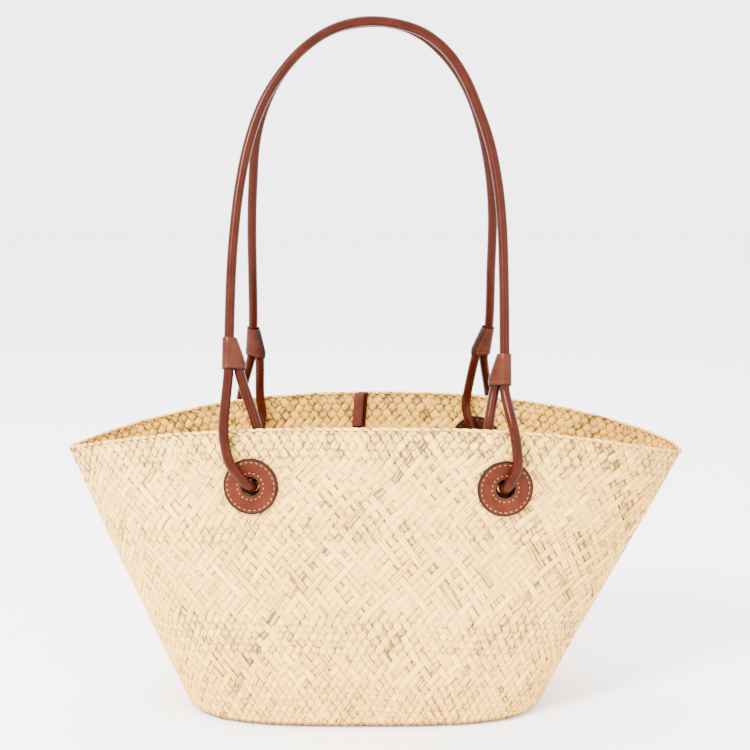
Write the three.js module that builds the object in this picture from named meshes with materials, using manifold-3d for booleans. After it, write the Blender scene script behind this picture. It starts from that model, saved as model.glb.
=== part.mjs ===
// Straw basket bag: a plaited straw body that widens from a boxy base to a pointed oval rim,
// and two leather cord handles that run through sewn leather eyelets into leather sleeves.
// Millimetres, +Z up, +X along the rim, the front faces -Y, the origin is under the base.
import * as THREE from "three";
import { mergeVertices } from "three/addons/utils/BufferGeometryUtils.js";
import Module from "manifold-3d";

const wasm = await Module();
wasm.setup();

// Body
const rimLength = 371;
const rimDepth = 135;
const rimHeight = 177; // at the middle of the front and the back
const rimDroop = 23; // how much lower the rim's two corners hang
const droopPower = 2.5; // how late along the rim the droop comes
const baseLength = 212;
const baseDepth = 127;
const baseShift = -5.5; // the base stands a little left of the rim's middle
const wallThickness = 2.4;
const bottomRound = 6;
const lipHeight = 3.4; // the folded edge along the rim
const lipExtra = 0.4; // how far it stands off each face of the wall
const lipSwell = 0.2; // share of its height over which it widens
const lipShoulder = 0.85; // share of its height where its top starts to round
const lipRound = 0.5; // how far its top edges are drawn in
const clearance = 0.3;

// Plan of the body by height. Length and depth are shares of the way from base to rim, shift is
// a share of the base's shift. The last three shape the ends: 1 is elliptical, less is boxier,
// more is pinched to a point.
const bodySections = [
  { height: 0, length: 0, depth: 0, shift: 1, along: 0.62, leftEnd: 0.62, rightEnd: 0.62 },
  { height: 0.3, length: 0.31, depth: 0.4, shift: 0.92, along: 0.74, leftEnd: 0.84, rightEnd: 0.66 },
  { height: 0.65, length: 0.67, depth: 0.75, shift: 0.58, along: 0.88, leftEnd: 1.14, rightEnd: 0.69 },
  { height: 1, length: 1, depth: 1, shift: 0, along: 1, leftEnd: 1.55, rightEnd: 0.72 },
];
const quarterPoints = 18; // points round a quarter of the plan
const finePoints = 160; // points it is measured with before they are spaced evenly
const bottomTurns = [0, 30, 60, 90]; // degrees round the bottom edge
const sideLevels = [0.15, 0.3, 0.47, 0.65, 0.83];

// Leather cord handles
const cordDiameter = 5.8;
const cordSides = 8;
const stepsPerPoint = 2;
const handleRise = 227; // middle of the cord at the top, above the rim
const archFoot = 53; // above the rim, where the arches' tables start
const cordGap = 0.3; // between the two cords at the top
const cordSag = 0.5; // how far under its eyelet's middle a cord lies

// Eyelets
const eyeletDiameter = 31;
const eyeletThickness = 2;
const eyeletHole = 10.6;
const strawHole = 8.6;
const drillLength = 14; // of the tool that cuts the straw's holes
const eyeletSides = 24;
const eyeletChamfer = 0.5;

// Sleeves
const sleeveLength = 19;
const sleeveLeather = 1;
const sleeveSpread = 6.4; // between the two legs at the lower end
const sleeveTopSpread = 0.6;
const sleeveStraight = 4; // the lower end stays wide over this length
const flangeReach = 1.8; // the sewn edge that stands off the sleeve
const flangeTurn = 28; // degrees from the second leg towards the bag's inside
const flangeThickness = 2.2;
const sleeveSteps = 8; // sides of its half-round left end
const tuck = 3; // how far a leg's end reaches into its sleeve
const legSplay = 0.6; // how far a leg spreads just under its sleeve
const legSlack = 0.4; // the legs hang this much off the straw

// Loop on the inside of the back
const loopAcross = -6.2; // from the bag's middle
const loopLength = 23.5;
const loopWidth = 5.5;
const loopLeather = 1.4;
const loopOpening = 1.8;
const loopSkew = 3.6; // the front strand hangs this far left of the rear one

const cordRadius = cordDiameter / 2;
const front = -1;
const back = 1;

// Where each leg of a handle lies: across in mm, rise as a share of the way from eyelet to rim.
const corners = [
  {
    name: "front_left",
    side: front,
    eyelet: { x: -69.3, drop: 32.5 },
    sleeve: { x: -81.4, rise: 31, tilt: 0.2 },
    outerLeg: [
      { across: -9.6, rise: 0.42 },
      { across: -13.2, rise: 0.74 },
      { across: -14, rise: 1.02 },
    ],
    innerLeg: [
      { across: 3.6, rise: 0.42 },
      { across: 3.6, rise: 0.74 },
      { across: 1.8, rise: 1.02 },
    ],
  },
  {
    name: "front_right",
    side: front,
    eyelet: { x: 73.9, drop: 32 },
    sleeve: { x: 73.7, rise: 22, tilt: 0.1 },
    outerLeg: [
      { across: 4.6, rise: 0.4 },
      { across: 5.6, rise: 0.68 },
      { across: 3.8, rise: 1.02 },
    ],
    innerLeg: [
      { across: -6, rise: 0.42 },
      { across: -8.6, rise: 0.74 },
      { across: -8.6, rise: 1.02 },
    ],
  },
  {
    name: "back_left",
    side: back,
    eyelet: { x: -78.5, drop: 38 },
    sleeve: { x: -78.2, rise: 26.5, tilt: 1.8 },
    outerLeg: [
      { across: -5, rise: 0.42 },
      { across: -6.4, rise: 0.74 },
      { across: -6, rise: 1.02 },
    ],
    innerLeg: [
      { across: 5, rise: 0.42 },
      { across: 5.6, rise: 0.74 },
      { across: 4.4, rise: 1.02 },
    ],
  },
  {
    name: "back_right",
    side: back,
    eyelet: { x: 66.8, drop: 29.5 },
    sleeve: { x: 70.9, rise: 27, tilt: 2.4 },
    outerLeg: [
      { across: 6, rise: 0.42 },
      { across: 8.2, rise: 0.74 },
      { across: 7.6, rise: 1.02 },
    ],
    innerLeg: [
      { across: -5, rise: 0.42 },
      { across: -6.6, rise: 0.74 },
      { across: -5.8, rise: 1.02 },
    ],
  },
];

// The handles' arches: across as a share of the way from left leg to right, rise from foot to top.
const handles = [
  {
    name: "handle_front",
    left: "front_left",
    right: "front_right",
    arch: [
      { across: 0.005, rise: 0.188 },
      { across: 0.014, rise: 0.316 },
      { across: 0.032, rise: 0.459 },
      { across: 0.064, rise: 0.603 },
      { across: 0.115, rise: 0.731 },
      { across: 0.183, rise: 0.83 },
      { across: 0.265, rise: 0.911 },
      { across: 0.369, rise: 0.973 },
      { across: 0.485, rise: 1 },
      { across: 0.601, rise: 0.994 },
      { across: 0.71, rise: 0.962 },
      { across: 0.798, rise: 0.9 },
      { across: 0.863, rise: 0.815 },
      { across: 0.912, rise: 0.712 },
      { across: 0.953, rise: 0.603 },
      { across: 0.981, rise: 0.475 },
      { across: 0.995, rise: 0.347 },
      { across: 1, rise: 0.184 },
    ],
  },
  {
    name: "handle_back",
    left: "back_left",
    right: "back_right",
    arch: [
      { across: 0.005, rise: 0.144 },
      { across: 0.009, rise: 0.316 },
      { across: 0.019, rise: 0.459 },
      { across: 0.039, rise: 0.617 },
      { across: 0.081, rise: 0.735 },
      { across: 0.15, rise: 0.838 },
      { across: 0.237, rise: 0.917 },
      { across: 0.347, rise: 0.976 },
      { across: 0.474, rise: 1 },
      { across: 0.594, rise: 0.995 },
      { across: 0.697, rise: 0.961 },
      { across: 0.784, rise: 0.901 },
      { across: 0.851, rise: 0.83 },
      { across: 0.904, rise: 0.745 },
      { across: 0.953, rise: 0.618 },
      { across: 0.985, rise: 0.48 },
      { across: 0.999, rise: 0.344 },
      { across: 1, rise: 0.161 },
    ],
  },
];

const straw = new THREE.MeshStandardMaterial({
  color: 0xe9d5a8,
  roughness: 0.75,
  metalness: 0,
});
const leather = new THREE.MeshStandardMaterial({
  color: 0x8c4328,
  roughness: 0.45,
  metalness: 0,
});
const tanLeather = new THREE.MeshStandardMaterial({
  color: 0xb0663c,
  roughness: 0.5,
  metalness: 0,
});

const mix = THREE.MathUtils.lerp;
const radians = THREE.MathUtils.degToRad;
const vector = (x, y, z) => new THREE.Vector3(x, y, z);

// A row between two rows of a table whose first column is height.
function rowAt(table, height) {
  const upper = Math.max(
    1,
    table.findIndex((row) => row.height >= height),
  );
  const below = table[upper - 1];
  const above = table[upper];
  const part = (height - below.height) / (above.height - below.height);
  const row = {};
  for (const column of Object.keys(below))
    row[column] = mix(below[column], above[column], part);
  return row;
}

// The body's plan at a height, given as a share of the rim's, and moved in from the outer face.
function planAt(height, inset) {
  const row = rowAt(bodySections, height);
  return {
    ...row,
    centre: baseShift * row.shift,
    halfLength: mix(baseLength, rimLength, row.length) / 2 - inset,
    halfDepth: mix(baseDepth, rimDepth, row.depth) / 2 - inset,
  };
}

// Height of a level of the body at a share of its half length.
function levelHeight(height, lengthShare) {
  return (
    height * (rimHeight - rimDroop * Math.pow(lengthShare, droopPower))
  );
}

// A quarter of a plan from its end to its middle, as evenly spaced points.
function quarterPlan(plan, endPower) {
  const points = [];
  const travelled = [0];
  for (let i = 0; i <= finePoints; i++) {
    const angle = (Math.PI / 2) * THREE.MathUtils.smoothstep(i, 0, finePoints);
    points.push([
      plan.halfLength * Math.pow(Math.max(Math.cos(angle), 0), plan.along),
      plan.halfDepth * Math.pow(Math.sin(angle), endPower),
    ]);
    if (i > 0)
      travelled.push(
        travelled[i - 1] +
          Math.hypot(
            points[i][0] - points[i - 1][0],
            points[i][1] - points[i - 1][1],
          ),
      );
  }
  const even = [];
  for (let k = 0; k <= quarterPoints; k++) {
    const goal = (travelled[finePoints] * k) / quarterPoints;
    const i = Math.max(
      1,
      travelled.findIndex((length) => length >= goal - 1e-9),
    );
    const part = (goal - travelled[i - 1]) / (travelled[i] - travelled[i - 1]);
    even.push([
      mix(points[i - 1][0], points[i][0], part),
      mix(points[i - 1][1], points[i][1], part),
    ]);
  }
  return even;
}

// A whole ring of the body, counter-clockwise from above, from the right-hand end.
function bodyRing(height, inset) {
  const plan = planAt(height, inset);
  const right = quarterPlan(plan, plan.rightEnd);
  const left = quarterPlan(plan, plan.leftEnd);
  const last = quarterPoints;
  const ring = [];
  for (let k = 0; k < last; k++) ring.push([right[k][0], right[k][1]]);
  for (let k = last; k > 0; k--) ring.push([-left[k][0], left[k][1]]);
  for (let k = 0; k < last; k++) ring.push([-left[k][0], -left[k][1]]);
  for (let k = last; k > 0; k--) ring.push([right[k][0], -right[k][1]]);
  return ring.map(([x, y]) =>
    vector(
      plan.centre + x,
      y,
      levelHeight(height, Math.abs(x) / plan.halfLength),
    ),
  );
}

// The wall's middle surface at a place along the bag and a height share, on one side.
function wallPoint(x, height, side) {
  const plan = planAt(height, wallThickness / 2);
  const lengthShare = Math.abs(x - plan.centre) / plan.halfLength;
  const cosine = Math.pow(lengthShare, 1 / plan.along);
  const endPower = x < plan.centre ? plan.leftEnd : plan.rightEnd;
  const y = plan.halfDepth * Math.pow(1 - cosine * cosine, endPower / 2);
  return vector(x, side * y, levelHeight(height, lengthShare));
}

// Axes on the wall: along +X, up the wall and out of the bag.
function wallFrame(x, drop, side) {
  const height = 1 - drop / rimHeight;
  const small = 0.01;
  const origin = wallPoint(x, height, side);
  const along = wallPoint(x + 1, height, side)
    .sub(wallPoint(x - 1, height, side))
    .normalize();
  const up = origin.clone().sub(wallPoint(x, height - small, side));
  up.addScaledVector(along, -up.dot(along)).normalize();
  const out = along.clone().cross(up).multiplyScalar(-side);
  return { origin, along, up, out };
}

function placeIn(frame, along, up, out) {
  return frame.origin
    .clone()
    .addScaledVector(frame.along, along)
    .addScaledVector(frame.up, up)
    .addScaledVector(frame.out, out);
}

// How far the wall's middle surface stands from the frame's plane at a point of that plane.
function wallBulge(frame, along, up, side) {
  const point = placeIn(frame, along, up, 0);
  const lengthShare =
    Math.abs(point.x) / planAt(1, wallThickness / 2).halfLength;
  const height = point.z / levelHeight(1, lengthShare);
  return (wallPoint(point.x, height, side).y - point.y) / frame.out.y;
}

// How far each face of the wall stands off the frame's plane under an eyelet, with its clearance.
function eyeletSeats(frame, side) {
  const rim = eyeletDiameter / 2;
  const bulges = [0];
  for (let i = 0; i < eyeletSides; i++) {
    const angle = (2 * Math.PI * i) / eyeletSides;
    bulges.push(
      wallBulge(frame, rim * Math.cos(angle), rim * Math.sin(angle), side),
    );
  }
  const reach = wallThickness / 2 + clearance;
  return {
    outer: Math.max(...bulges) + reach,
    inner: Math.min(...bulges) - reach,
  };
}

// A closed surface through rings of equal count, with a middle point at each end.
function skinOver(rings, firstMiddle, lastMiddle) {
  const count = rings[0].length;
  const points = [firstMiddle, ...rings.flat(), lastMiddle];
  const lastIndex = points.length - 1;
  const faces = [];
  for (let k = 0; k < count; k++) {
    const next = (k + 1) % count;
    faces.push(0, 1 + next, 1 + k);
    for (let r = 0; r < rings.length - 1; r++) {
      const a = 1 + r * count + k;
      const b = 1 + r * count + next;
      faces.push(a, b, b + count, a, b + count, a + count);
    }
    const top = 1 + (rings.length - 1) * count;
    faces.push(lastIndex, top + k, top + next);
  }
  const geometry = new THREE.BufferGeometry().setFromPoints(points);
  geometry.setIndex(faces);
  return geometry;
}

function toSolid(geometry) {
  const bare = geometry.clone();
  bare.deleteAttribute("normal");
  bare.deleteAttribute("uv");
  const merged = mergeVertices(bare, 1e-4);
  return new wasm.Manifold(
    new wasm.Mesh({
      numProp: 3,
      vertProperties: merged.attributes.position.array,
      triVerts: new Uint32Array(merged.index.array),
    }),
  );
}

function toGeometry(solid) {
  const mesh = solid.getMesh();
  const geometry = new THREE.BufferGeometry();
  geometry.setAttribute(
    "position",
    new THREE.BufferAttribute(mesh.vertProperties, 3),
  );
  geometry.setIndex(new THREE.BufferAttribute(mesh.triVerts, 1));
  geometry.computeVertexNormals();
  return geometry;
}

// Turns a geometry made round +Y to stand along a direction at a point.
function standAlong(geometry, direction, point) {
  const turn = new THREE.Quaternion().setFromUnitVectors(
    vector(0, 1, 0),
    direction,
  );
  geometry.applyQuaternion(turn);
  return geometry.translate(point.x, point.y, point.z);
}

for (const corner of corners) {
  corner.frame = wallFrame(corner.eyelet.x, corner.eyelet.drop, corner.side);
  corner.seats = eyeletSeats(corner.frame, corner.side);
}

function basketGeometry() {
  const quarterTurn = bottomTurns.map(radians);
  const innerRound = bottomRound - wallThickness;
  const lipLevel = (share) => 1 - ((1 - share) * lipHeight) / rimHeight;
  const swollen = [lipLevel(lipSwell), lipLevel(lipShoulder)];
  const rings = [];
  for (const turn of quarterTurn)
    rings.push(
      bodyRing(
        (bottomRound * (1 - Math.cos(turn))) / rimHeight,
        bottomRound * (1 - Math.sin(turn)),
      ),
    );
  for (const level of sideLevels) rings.push(bodyRing(level, 0));
  rings.push(bodyRing(lipLevel(0), 0));
  for (const level of swollen) rings.push(bodyRing(level, -lipExtra));
  rings.push(bodyRing(1, lipRound));
  rings.push(bodyRing(1, wallThickness - lipRound));
  for (const level of [...swollen].reverse())
    rings.push(bodyRing(level, wallThickness + lipExtra));
  rings.push(bodyRing(lipLevel(0), wallThickness));
  for (const level of [...sideLevels].reverse())
    rings.push(bodyRing(level, wallThickness));
  for (const turn of [...quarterTurn].reverse())
    rings.push(
      bodyRing(
        (wallThickness + innerRound * (1 - Math.cos(turn))) / rimHeight,
        bottomRound - innerRound * Math.sin(turn),
      ),
    );
  const skin = skinOver(
    rings,
    vector(baseShift, 0, 0),
    vector(baseShift, 0, wallThickness),
  );
  let solid = toSolid(skin);
  for (const { frame } of corners) {
    const drill = new THREE.CylinderGeometry(
      strawHole / 2,
      strawHole / 2,
      drillLength,
      eyeletSides,
    );
    solid = solid.subtract(
      toSolid(standAlong(drill, frame.out, frame.origin)),
    );
  }
  return toGeometry(solid);
}

// A leather washer whose chamfered face looks along the direction.
function eyeletGeometry(direction, point) {
  const inner = eyeletHole / 2;
  const outer = eyeletDiameter / 2;
  const profile = [
    [inner, 0],
    [outer, 0],
    [outer, eyeletThickness - eyeletChamfer],
    [outer - eyeletChamfer, eyeletThickness],
    [inner, eyeletThickness],
    [inner, 0],
  ];
  return standAlong(
    new THREE.LatheGeometry(
      profile.map(([r, h]) => new THREE.Vector2(r, h)),
      eyeletSides,
    ),
    direction,
    point,
  );
}

// A place on a leg, measured from its eyelet, clear of the straw on the outside or the inside.
function legPlace(corner, place, facing) {
  const { eyelet, seats } = corner;
  const up = place.rise * eyelet.drop;
  const onLeather = eyeletThickness + clearance + cordRadius;
  if (Math.hypot(place.across, up) < eyeletDiameter / 2 + cordRadius) {
    const seat = facing > 0 ? seats.outer : seats.inner;
    return placeIn(corner.frame, place.across, up, seat + facing * onLeather);
  }
  const drop = eyelet.drop - up;
  const frame = wallFrame(
    eyelet.x + place.across,
    Math.max(drop, 0),
    corner.side,
  );
  const onStraw = wallThickness / 2 + lipExtra + clearance + cordRadius;
  return placeIn(frame, 0, Math.max(-drop, 0), facing * (onStraw + legSlack));
}

const cornerNamed = (name) => corners.find((corner) => corner.name === name);
const topHeight = rimHeight + handleRise;
const halfGap = cordRadius + cordGap / 2;

// The two handles lean towards each other from above the rim until they touch at the top.
function leanAt(handle, z) {
  const feet = [handle.left, handle.right].map((name) => {
    const corner = cornerNamed(name);
    return Math.abs(wallPoint(corner.eyelet.x, 1, corner.side).y);
  });
  const foot = (feet[0] + feet[1]) / 2;
  return mix(halfGap, foot, (topHeight - z) / handleRise);
}

// The sleeve's own axes: up along the main cord, and sideways to the leg that goes inside.
function sleeveFrame(handle, corner) {
  const { x, rise, tilt } = corner.sleeve;
  const low = rimHeight + rise;
  const slope = leanAt(handle, low + 1) - leanAt(handle, low);
  const up = vector(tilt / sleeveLength, corner.side * slope, 1).normalize();
  const origin = vector(x, corner.side * leanAt(handle, low), low);
  const inside = legPlace(corner, corner.innerLeg.at(-1), -1);
  const outside = legPlace(corner, corner.outerLeg.at(-1), 1);
  const along = inside.sub(outside).setZ(0);
  along.addScaledVector(up, -along.dot(up)).normalize();
  const out = along.clone().cross(up);
  return { origin, along, up, out, inside: -Math.sign(corner.side * out.y) };
}

for (const handle of handles)
  for (const name of [handle.left, handle.right]) {
    const corner = cornerNamed(name);
    corner.sleeve.frame = sleeveFrame(handle, corner);
  }

// One end of a handle: from its tucked end down inside the bag, out through the eyelet and up.
function legRoute(corner) {
  const sleeve = corner.sleeve.frame;
  const legGap = cordDiameter + clearance;
  const route = [
    placeIn(sleeve, legGap, tuck, 0),
    placeIn(sleeve, legGap, 0, 0),
    placeIn(sleeve, legGap + legSplay, -tuck, 0),
  ];
  for (const place of [...corner.innerLeg].reverse())
    route.push(legPlace(corner, place, -1));

  const onLeather = eyeletThickness + clearance + cordRadius;
  const outermost = corner.seats.outer + onLeather;
  const innermost = corner.seats.inner - onLeather;
  const bend = (outermost - innermost) / 2;
  const middle = (outermost + innermost) / 2;
  for (const degrees of [-90, -60, -30, 0, 30, 60, 90]) {
    const leg = degrees < 0 ? corner.innerLeg[0] : corner.outerLeg[0];
    const way = new THREE.Vector2(
      leg.across,
      leg.rise * corner.eyelet.drop,
    ).normalize();
    const shift = bend * (1 - Math.cos(radians(degrees))) - cordSag;
    route.push(
      placeIn(
        corner.frame,
        way.x * shift,
        way.y * shift,
        middle + bend * Math.sin(radians(degrees)),
      ),
    );
  }

  for (const place of corner.outerLeg) route.push(legPlace(corner, place, 1));
  route.push(placeIn(sleeve, 0, -tuck, 0));
  route.push(placeIn(sleeve, 0, 0, 0));
  route.push(placeIn(sleeve, 0, sleeveLength, 0));
  return route;
}

// A curve read in equal steps from point to point, so that close points give a finer bend.
class CordCurve extends THREE.CatmullRomCurve3 {
  getPointAt(share, target) {
    return this.getPoint(share, target);
  }

  getTangentAt(share, target) {
    return this.getTangent(share, target);
  }
}

function handleGeometry(handle) {
  const left = cornerNamed(handle.left);
  const right = cornerNamed(handle.right);
  const leftX = left.sleeve.x + left.sleeve.tilt;
  const rightX = right.sleeve.x + right.sleeve.tilt;
  const arch = handle.arch.map(({ across, rise }) => {
    const z = mix(rimHeight + archFoot, topHeight, rise);
    const y = left.side * leanAt(handle, z);
    return vector(mix(leftX, rightX, across), y, z);
  });
  const points = [...legRoute(left), ...arch, ...legRoute(right).reverse()];
  const section = new THREE.Shape();
  for (let i = 0; i < cordSides; i++) {
    const angle = (2 * Math.PI * i) / cordSides;
    const x = cordRadius * Math.cos(angle);
    const y = cordRadius * Math.sin(angle);
    if (i === 0) section.moveTo(x, y);
    else section.lineTo(x, y);
  }
  section.closePath();
  return new THREE.ExtrudeGeometry(section, {
    steps: (points.length - 1) * stepsPerPoint,
    extrudePath: new CordCurve(points),
  });
}

// How far the sleeve reaches from the main cord to the leg beside it, by height.
function spreadAt(height) {
  const wide = cordDiameter + clearance;
  if (height < sleeveStraight)
    return mix(sleeveSpread, wide, height / sleeveStraight);
  const part = (height - sleeveStraight) / (sleeveLength - sleeveStraight);
  return mix(wide, sleeveTopSpread, part);
}

// A round-ended ring of the sleeve, with the sewn flange's reach on the second leg's end.
function sleeveRing(frame, height, radius, reach) {
  const spread = spreadAt(THREE.MathUtils.clamp(height, 0, sleeveLength));
  const ring = [];
  const addArc = (centre, from, to, steps) => {
    for (let i = 0; i <= steps; i++) {
      const angle = mix(from, to, i / steps);
      ring.push([
        centre + radius * Math.cos(angle),
        radius * Math.sin(angle),
      ]);
    }
  };
  const halfFlange = flangeThickness / 2;
  const root = Math.asin(halfFlange / radius);
  const turn = radians(flangeTurn) * frame.inside;
  addArc(0, Math.PI / 2, (3 * Math.PI) / 2, sleeveSteps);
  addArc(spread, -Math.PI / 2, turn - root, sleeveSteps / 2);
  for (const edge of [-halfFlange, halfFlange])
    ring.push([
      spread +
        (radius + reach) * Math.cos(turn) -
        edge * Math.sin(turn),
      (radius + reach) * Math.sin(turn) + edge * Math.cos(turn),
    ]);
  addArc(spread, turn + root, Math.PI / 2, sleeveSteps / 2);
  return ring
    .reverse()
    .map(([along, out]) => placeIn(frame, along, height, out));
}

function sleeveGeometry(frame) {
  const hollow = cordRadius + clearance;
  const outerLevels = [0, sleeveStraight, sleeveLength];
  const overrun = 1; // the hollow is cut past both ends
  const innerLevels = [
    -overrun,
    0,
    sleeveStraight,
    sleeveLength,
    sleeveLength + overrun,
  ];
  const skin = (levels, radius, reach) =>
    toSolid(
      skinOver(
        levels.map((height) => sleeveRing(frame, height, radius, reach)),
        placeIn(frame, spreadAt(0) / 2, levels[0], 0),
        placeIn(frame, sleeveTopSpread / 2, levels.at(-1), 0),
      ),
    );
  const outside = skin(outerLevels, hollow + sleeveLeather, flangeReach);
  return toGeometry(outside.subtract(skin(innerLevels, hollow, 0)));
}

// A strap folded into a hanging loop, sheared so that its two strands lie beside each other.
function loopGeometry() {
  const frame = wallFrame(loopAcross, 0, back);
  const depth = loopOpening + 2 * loopLeather;
  const outerBend = depth / 2;
  const innerBend = loopOpening / 2;
  const low = -loopLength + outerBend;
  const outline = new THREE.Shape();
  outline.moveTo(0, 0);
  outline.lineTo(0, low);
  outline.absarc(outerBend, low, outerBend, Math.PI, 2 * Math.PI, false);
  outline.lineTo(depth, 0);
  outline.lineTo(depth - loopLeather, 0);
  outline.lineTo(depth - loopLeather, low);
  outline.absarc(outerBend, low, innerBend, 2 * Math.PI, Math.PI, true);
  outline.lineTo(loopLeather, 0);
  outline.closePath();
  const geometry = new THREE.ExtrudeGeometry(outline, {
    depth: loopWidth,
    bevelEnabled: false,
    curveSegments: 8,
  });
  // The outline's x goes into the bag, its y up the wall and the extrusion leftwards.
  const seat = wallThickness / 2 + lipExtra + clearance;
  const into = frame.out.clone().negate();
  const start = placeIn(frame, loopWidth / 2, 0, -seat);
  const sheared = into
    .clone()
    .addScaledVector(frame.along, -loopSkew / depth);
  const leftwards = frame.along.clone().negate();
  const place = new THREE.Matrix4().makeBasis(sheared, frame.up, leftwards);
  place.setPosition(start);
  return geometry.applyMatrix4(place);
}

const bag = new THREE.Group();

function addMesh(name, geometry, material) {
  const mesh = new THREE.Mesh(geometry, material);
  mesh.name = name;
  bag.add(mesh);
}

addMesh("basket", basketGeometry(), straw);
for (const corner of corners) {
  const { frame, seats } = corner;
  const inward = frame.out.clone().negate();
  const outerFace = placeIn(frame, 0, 0, seats.outer);
  const innerFace = placeIn(frame, 0, 0, seats.inner);
  addMesh(
    "outer_eyelet_" + corner.name,
    eyeletGeometry(frame.out, outerFace),
    leather,
  );
  addMesh(
    "inner_eyelet_" + corner.name,
    eyeletGeometry(inward, innerFace),
    leather,
  );
  addMesh(
    "sleeve_" + corner.name,
    sleeveGeometry(corner.sleeve.frame),
    tanLeather,
  );
}
for (const handle of handles)
  addMesh(handle.name, handleGeometry(handle), leather);
addMesh("inner_loop", loopGeometry(), leather);

export default bag;
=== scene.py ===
import math

import bmesh
import bpy
import numpy as np
from mathutils import Matrix, Vector


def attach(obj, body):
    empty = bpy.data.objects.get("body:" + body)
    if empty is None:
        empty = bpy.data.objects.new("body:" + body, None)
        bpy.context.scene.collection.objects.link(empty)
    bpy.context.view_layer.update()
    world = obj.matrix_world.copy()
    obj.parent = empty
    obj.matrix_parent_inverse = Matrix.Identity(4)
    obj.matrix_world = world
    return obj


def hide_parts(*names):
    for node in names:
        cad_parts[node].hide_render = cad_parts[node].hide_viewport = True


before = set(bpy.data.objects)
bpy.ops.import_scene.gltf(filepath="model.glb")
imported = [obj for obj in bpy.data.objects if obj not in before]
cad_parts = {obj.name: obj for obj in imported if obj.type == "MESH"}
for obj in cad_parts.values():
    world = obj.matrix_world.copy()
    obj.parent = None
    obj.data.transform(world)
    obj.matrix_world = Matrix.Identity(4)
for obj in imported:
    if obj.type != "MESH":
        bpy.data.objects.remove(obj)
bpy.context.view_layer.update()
mm = 0.001
uvLength = 12  # mm of a strand or cord per unit of its UV map


def deselectAll():
    bpy.ops.object.select_all(action="DESELECT")


def makeActive(piece):
    deselectAll()
    piece.select_set(True)
    bpy.context.view_layer.objects.active = piece


deselectAll()

# Camera where the photograph was taken from, in millimetres
view = {
    "place": (0.9, -800, 311),
    "pitch": 8.1,
    "lens": 64.46,
    "sensor": 36,
    "farthest": 20,
}
bpy.ops.object.camera_add(
    location=[v * mm for v in view["place"]],
    rotation=(math.radians(90 - view["pitch"]), 0, 0),
)
camera = bpy.context.object
camera.name = "view_camera"
camera.data.lens = view["lens"]
camera.data.sensor_width = view["sensor"]
camera.data.clip_end = view["farthest"]
bpy.context.scene.camera = camera
print("camera set")

# Soft studio light and a plain pale floor
studio = {
    "world": 4.5,
    "floorSize": 12,
    "floorPlace": (0, 3, 0),
    "floorColour": (0.94, 0.94, 0.94, 1),
    "floorRoughness": 0.9,
    "aim": (0, 0, 0.15),  # where the lamps point
    "lamps": [
        {"name": "key_lamp", "place": (-0.9, -1.1, 1.3), "size": 0.45, "power": 100},
        {"name": "fill_lamp", "place": (0.9, -1.2, 0.8), "size": 1.0, "power": 14},
        {"name": "top_lamp", "place": (-0.2, 0.6, 1.6), "size": 1.0, "power": 20},
    ],
}
world = bpy.data.worlds.new("studio_world")
bpy.context.scene.world = world
world.use_nodes = True
worldLight = world.node_tree.nodes["Background"]
worldLight.inputs["Color"].default_value = (1, 1, 1, 1)
worldLight.inputs["Strength"].default_value = studio["world"]
for lamp in studio["lamps"]:
    bpy.ops.object.light_add(type="AREA", location=lamp["place"])
    made = bpy.context.object
    made.name = lamp["name"]
    made.data.size = lamp["size"]
    made.data.energy = lamp["power"]
    aim = Vector(studio["aim"]) - Vector(lamp["place"])
    made.rotation_euler = aim.to_track_quat("-Z", "Y").to_euler()

bpy.ops.mesh.primitive_plane_add(size=studio["floorSize"], location=studio["floorPlace"])
floor = bpy.context.object
floor.name = "floor"
floorPaint = bpy.data.materials.new("floor_paint")
floorPaint.use_nodes = True
shader = floorPaint.node_tree.nodes["Principled BSDF"]
shader.inputs["Base Color"].default_value = studio["floorColour"]
shader.inputs["Roughness"].default_value = studio["floorRoughness"]
floor.data.materials.append(floorPaint)
print("light and floor set")

# The body's own shape: the same sizes and formulas that its solid has, in millimetres
body = {
    "rimLength": 371,
    "rimDepth": 135,
    "rimHeight": 177,
    "rimDroop": 23,
    "droopPower": 2.5,
    "baseLength": 212,
    "baseDepth": 127,
    "baseShift": -5.5,
    "wall": 2.4,
    "bottomRound": 6,
    # at four heights: shares of the way from the base's size to the rim's, then the plan's roundness
    "height": (0, 0.3, 0.65, 1),
    "length": (0, 0.31, 0.67, 1),
    "depth": (0, 0.4, 0.75, 1),
    "shift": (1, 0.92, 0.58, 0),
    "along": (0.62, 0.74, 0.88, 1),
    "leftEnd": (0.62, 0.84, 1.14, 1.55),
    "rightEnd": (0.62, 0.66, 0.69, 0.72),
    "quarterSteps": 241,
}


def mix(a, b, share):
    return a + (b - a) * share


def planAt(height, inset):
    # half sizes and roundness of the plan at a share of the height, drawn in by the inset
    column = {
        name: np.interp(height, body["height"], body[name])
        for name in ("length", "depth", "shift", "along", "leftEnd", "rightEnd")
    }
    return {
        "centre": body["baseShift"] * column["shift"],
        "halfLength": mix(body["baseLength"], body["rimLength"], column["length"]) / 2 - inset,
        "halfDepth": mix(body["baseDepth"], body["rimDepth"], column["depth"]) / 2 - inset,
        "along": column["along"],
        "leftEnd": column["leftEnd"],
        "rightEnd": column["rightEnd"],
    }


def levelHeight(height, lengthShare):
    droop = body["rimDroop"] * np.power(lengthShare, body["droopPower"])
    return height * (body["rimHeight"] - droop)


def quarterPlan(plan, endPower, shares):
    # points on a quarter of the plan, at shares of its length
    fine = np.linspace(0, 1, body["quarterSteps"])
    angle = (np.pi / 2) * fine * fine * (3 - 2 * fine)
    x = plan["halfLength"] * np.power(np.maximum(np.cos(angle), 0), plan["along"])
    y = plan["halfDepth"] * np.power(np.sin(angle), endPower)
    travelled = np.concatenate([[0], np.cumsum(np.hypot(np.diff(x), np.diff(y)))])
    goal = travelled[-1] * shares
    return np.interp(goal, travelled, x), np.interp(goal, travelled, y)


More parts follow.
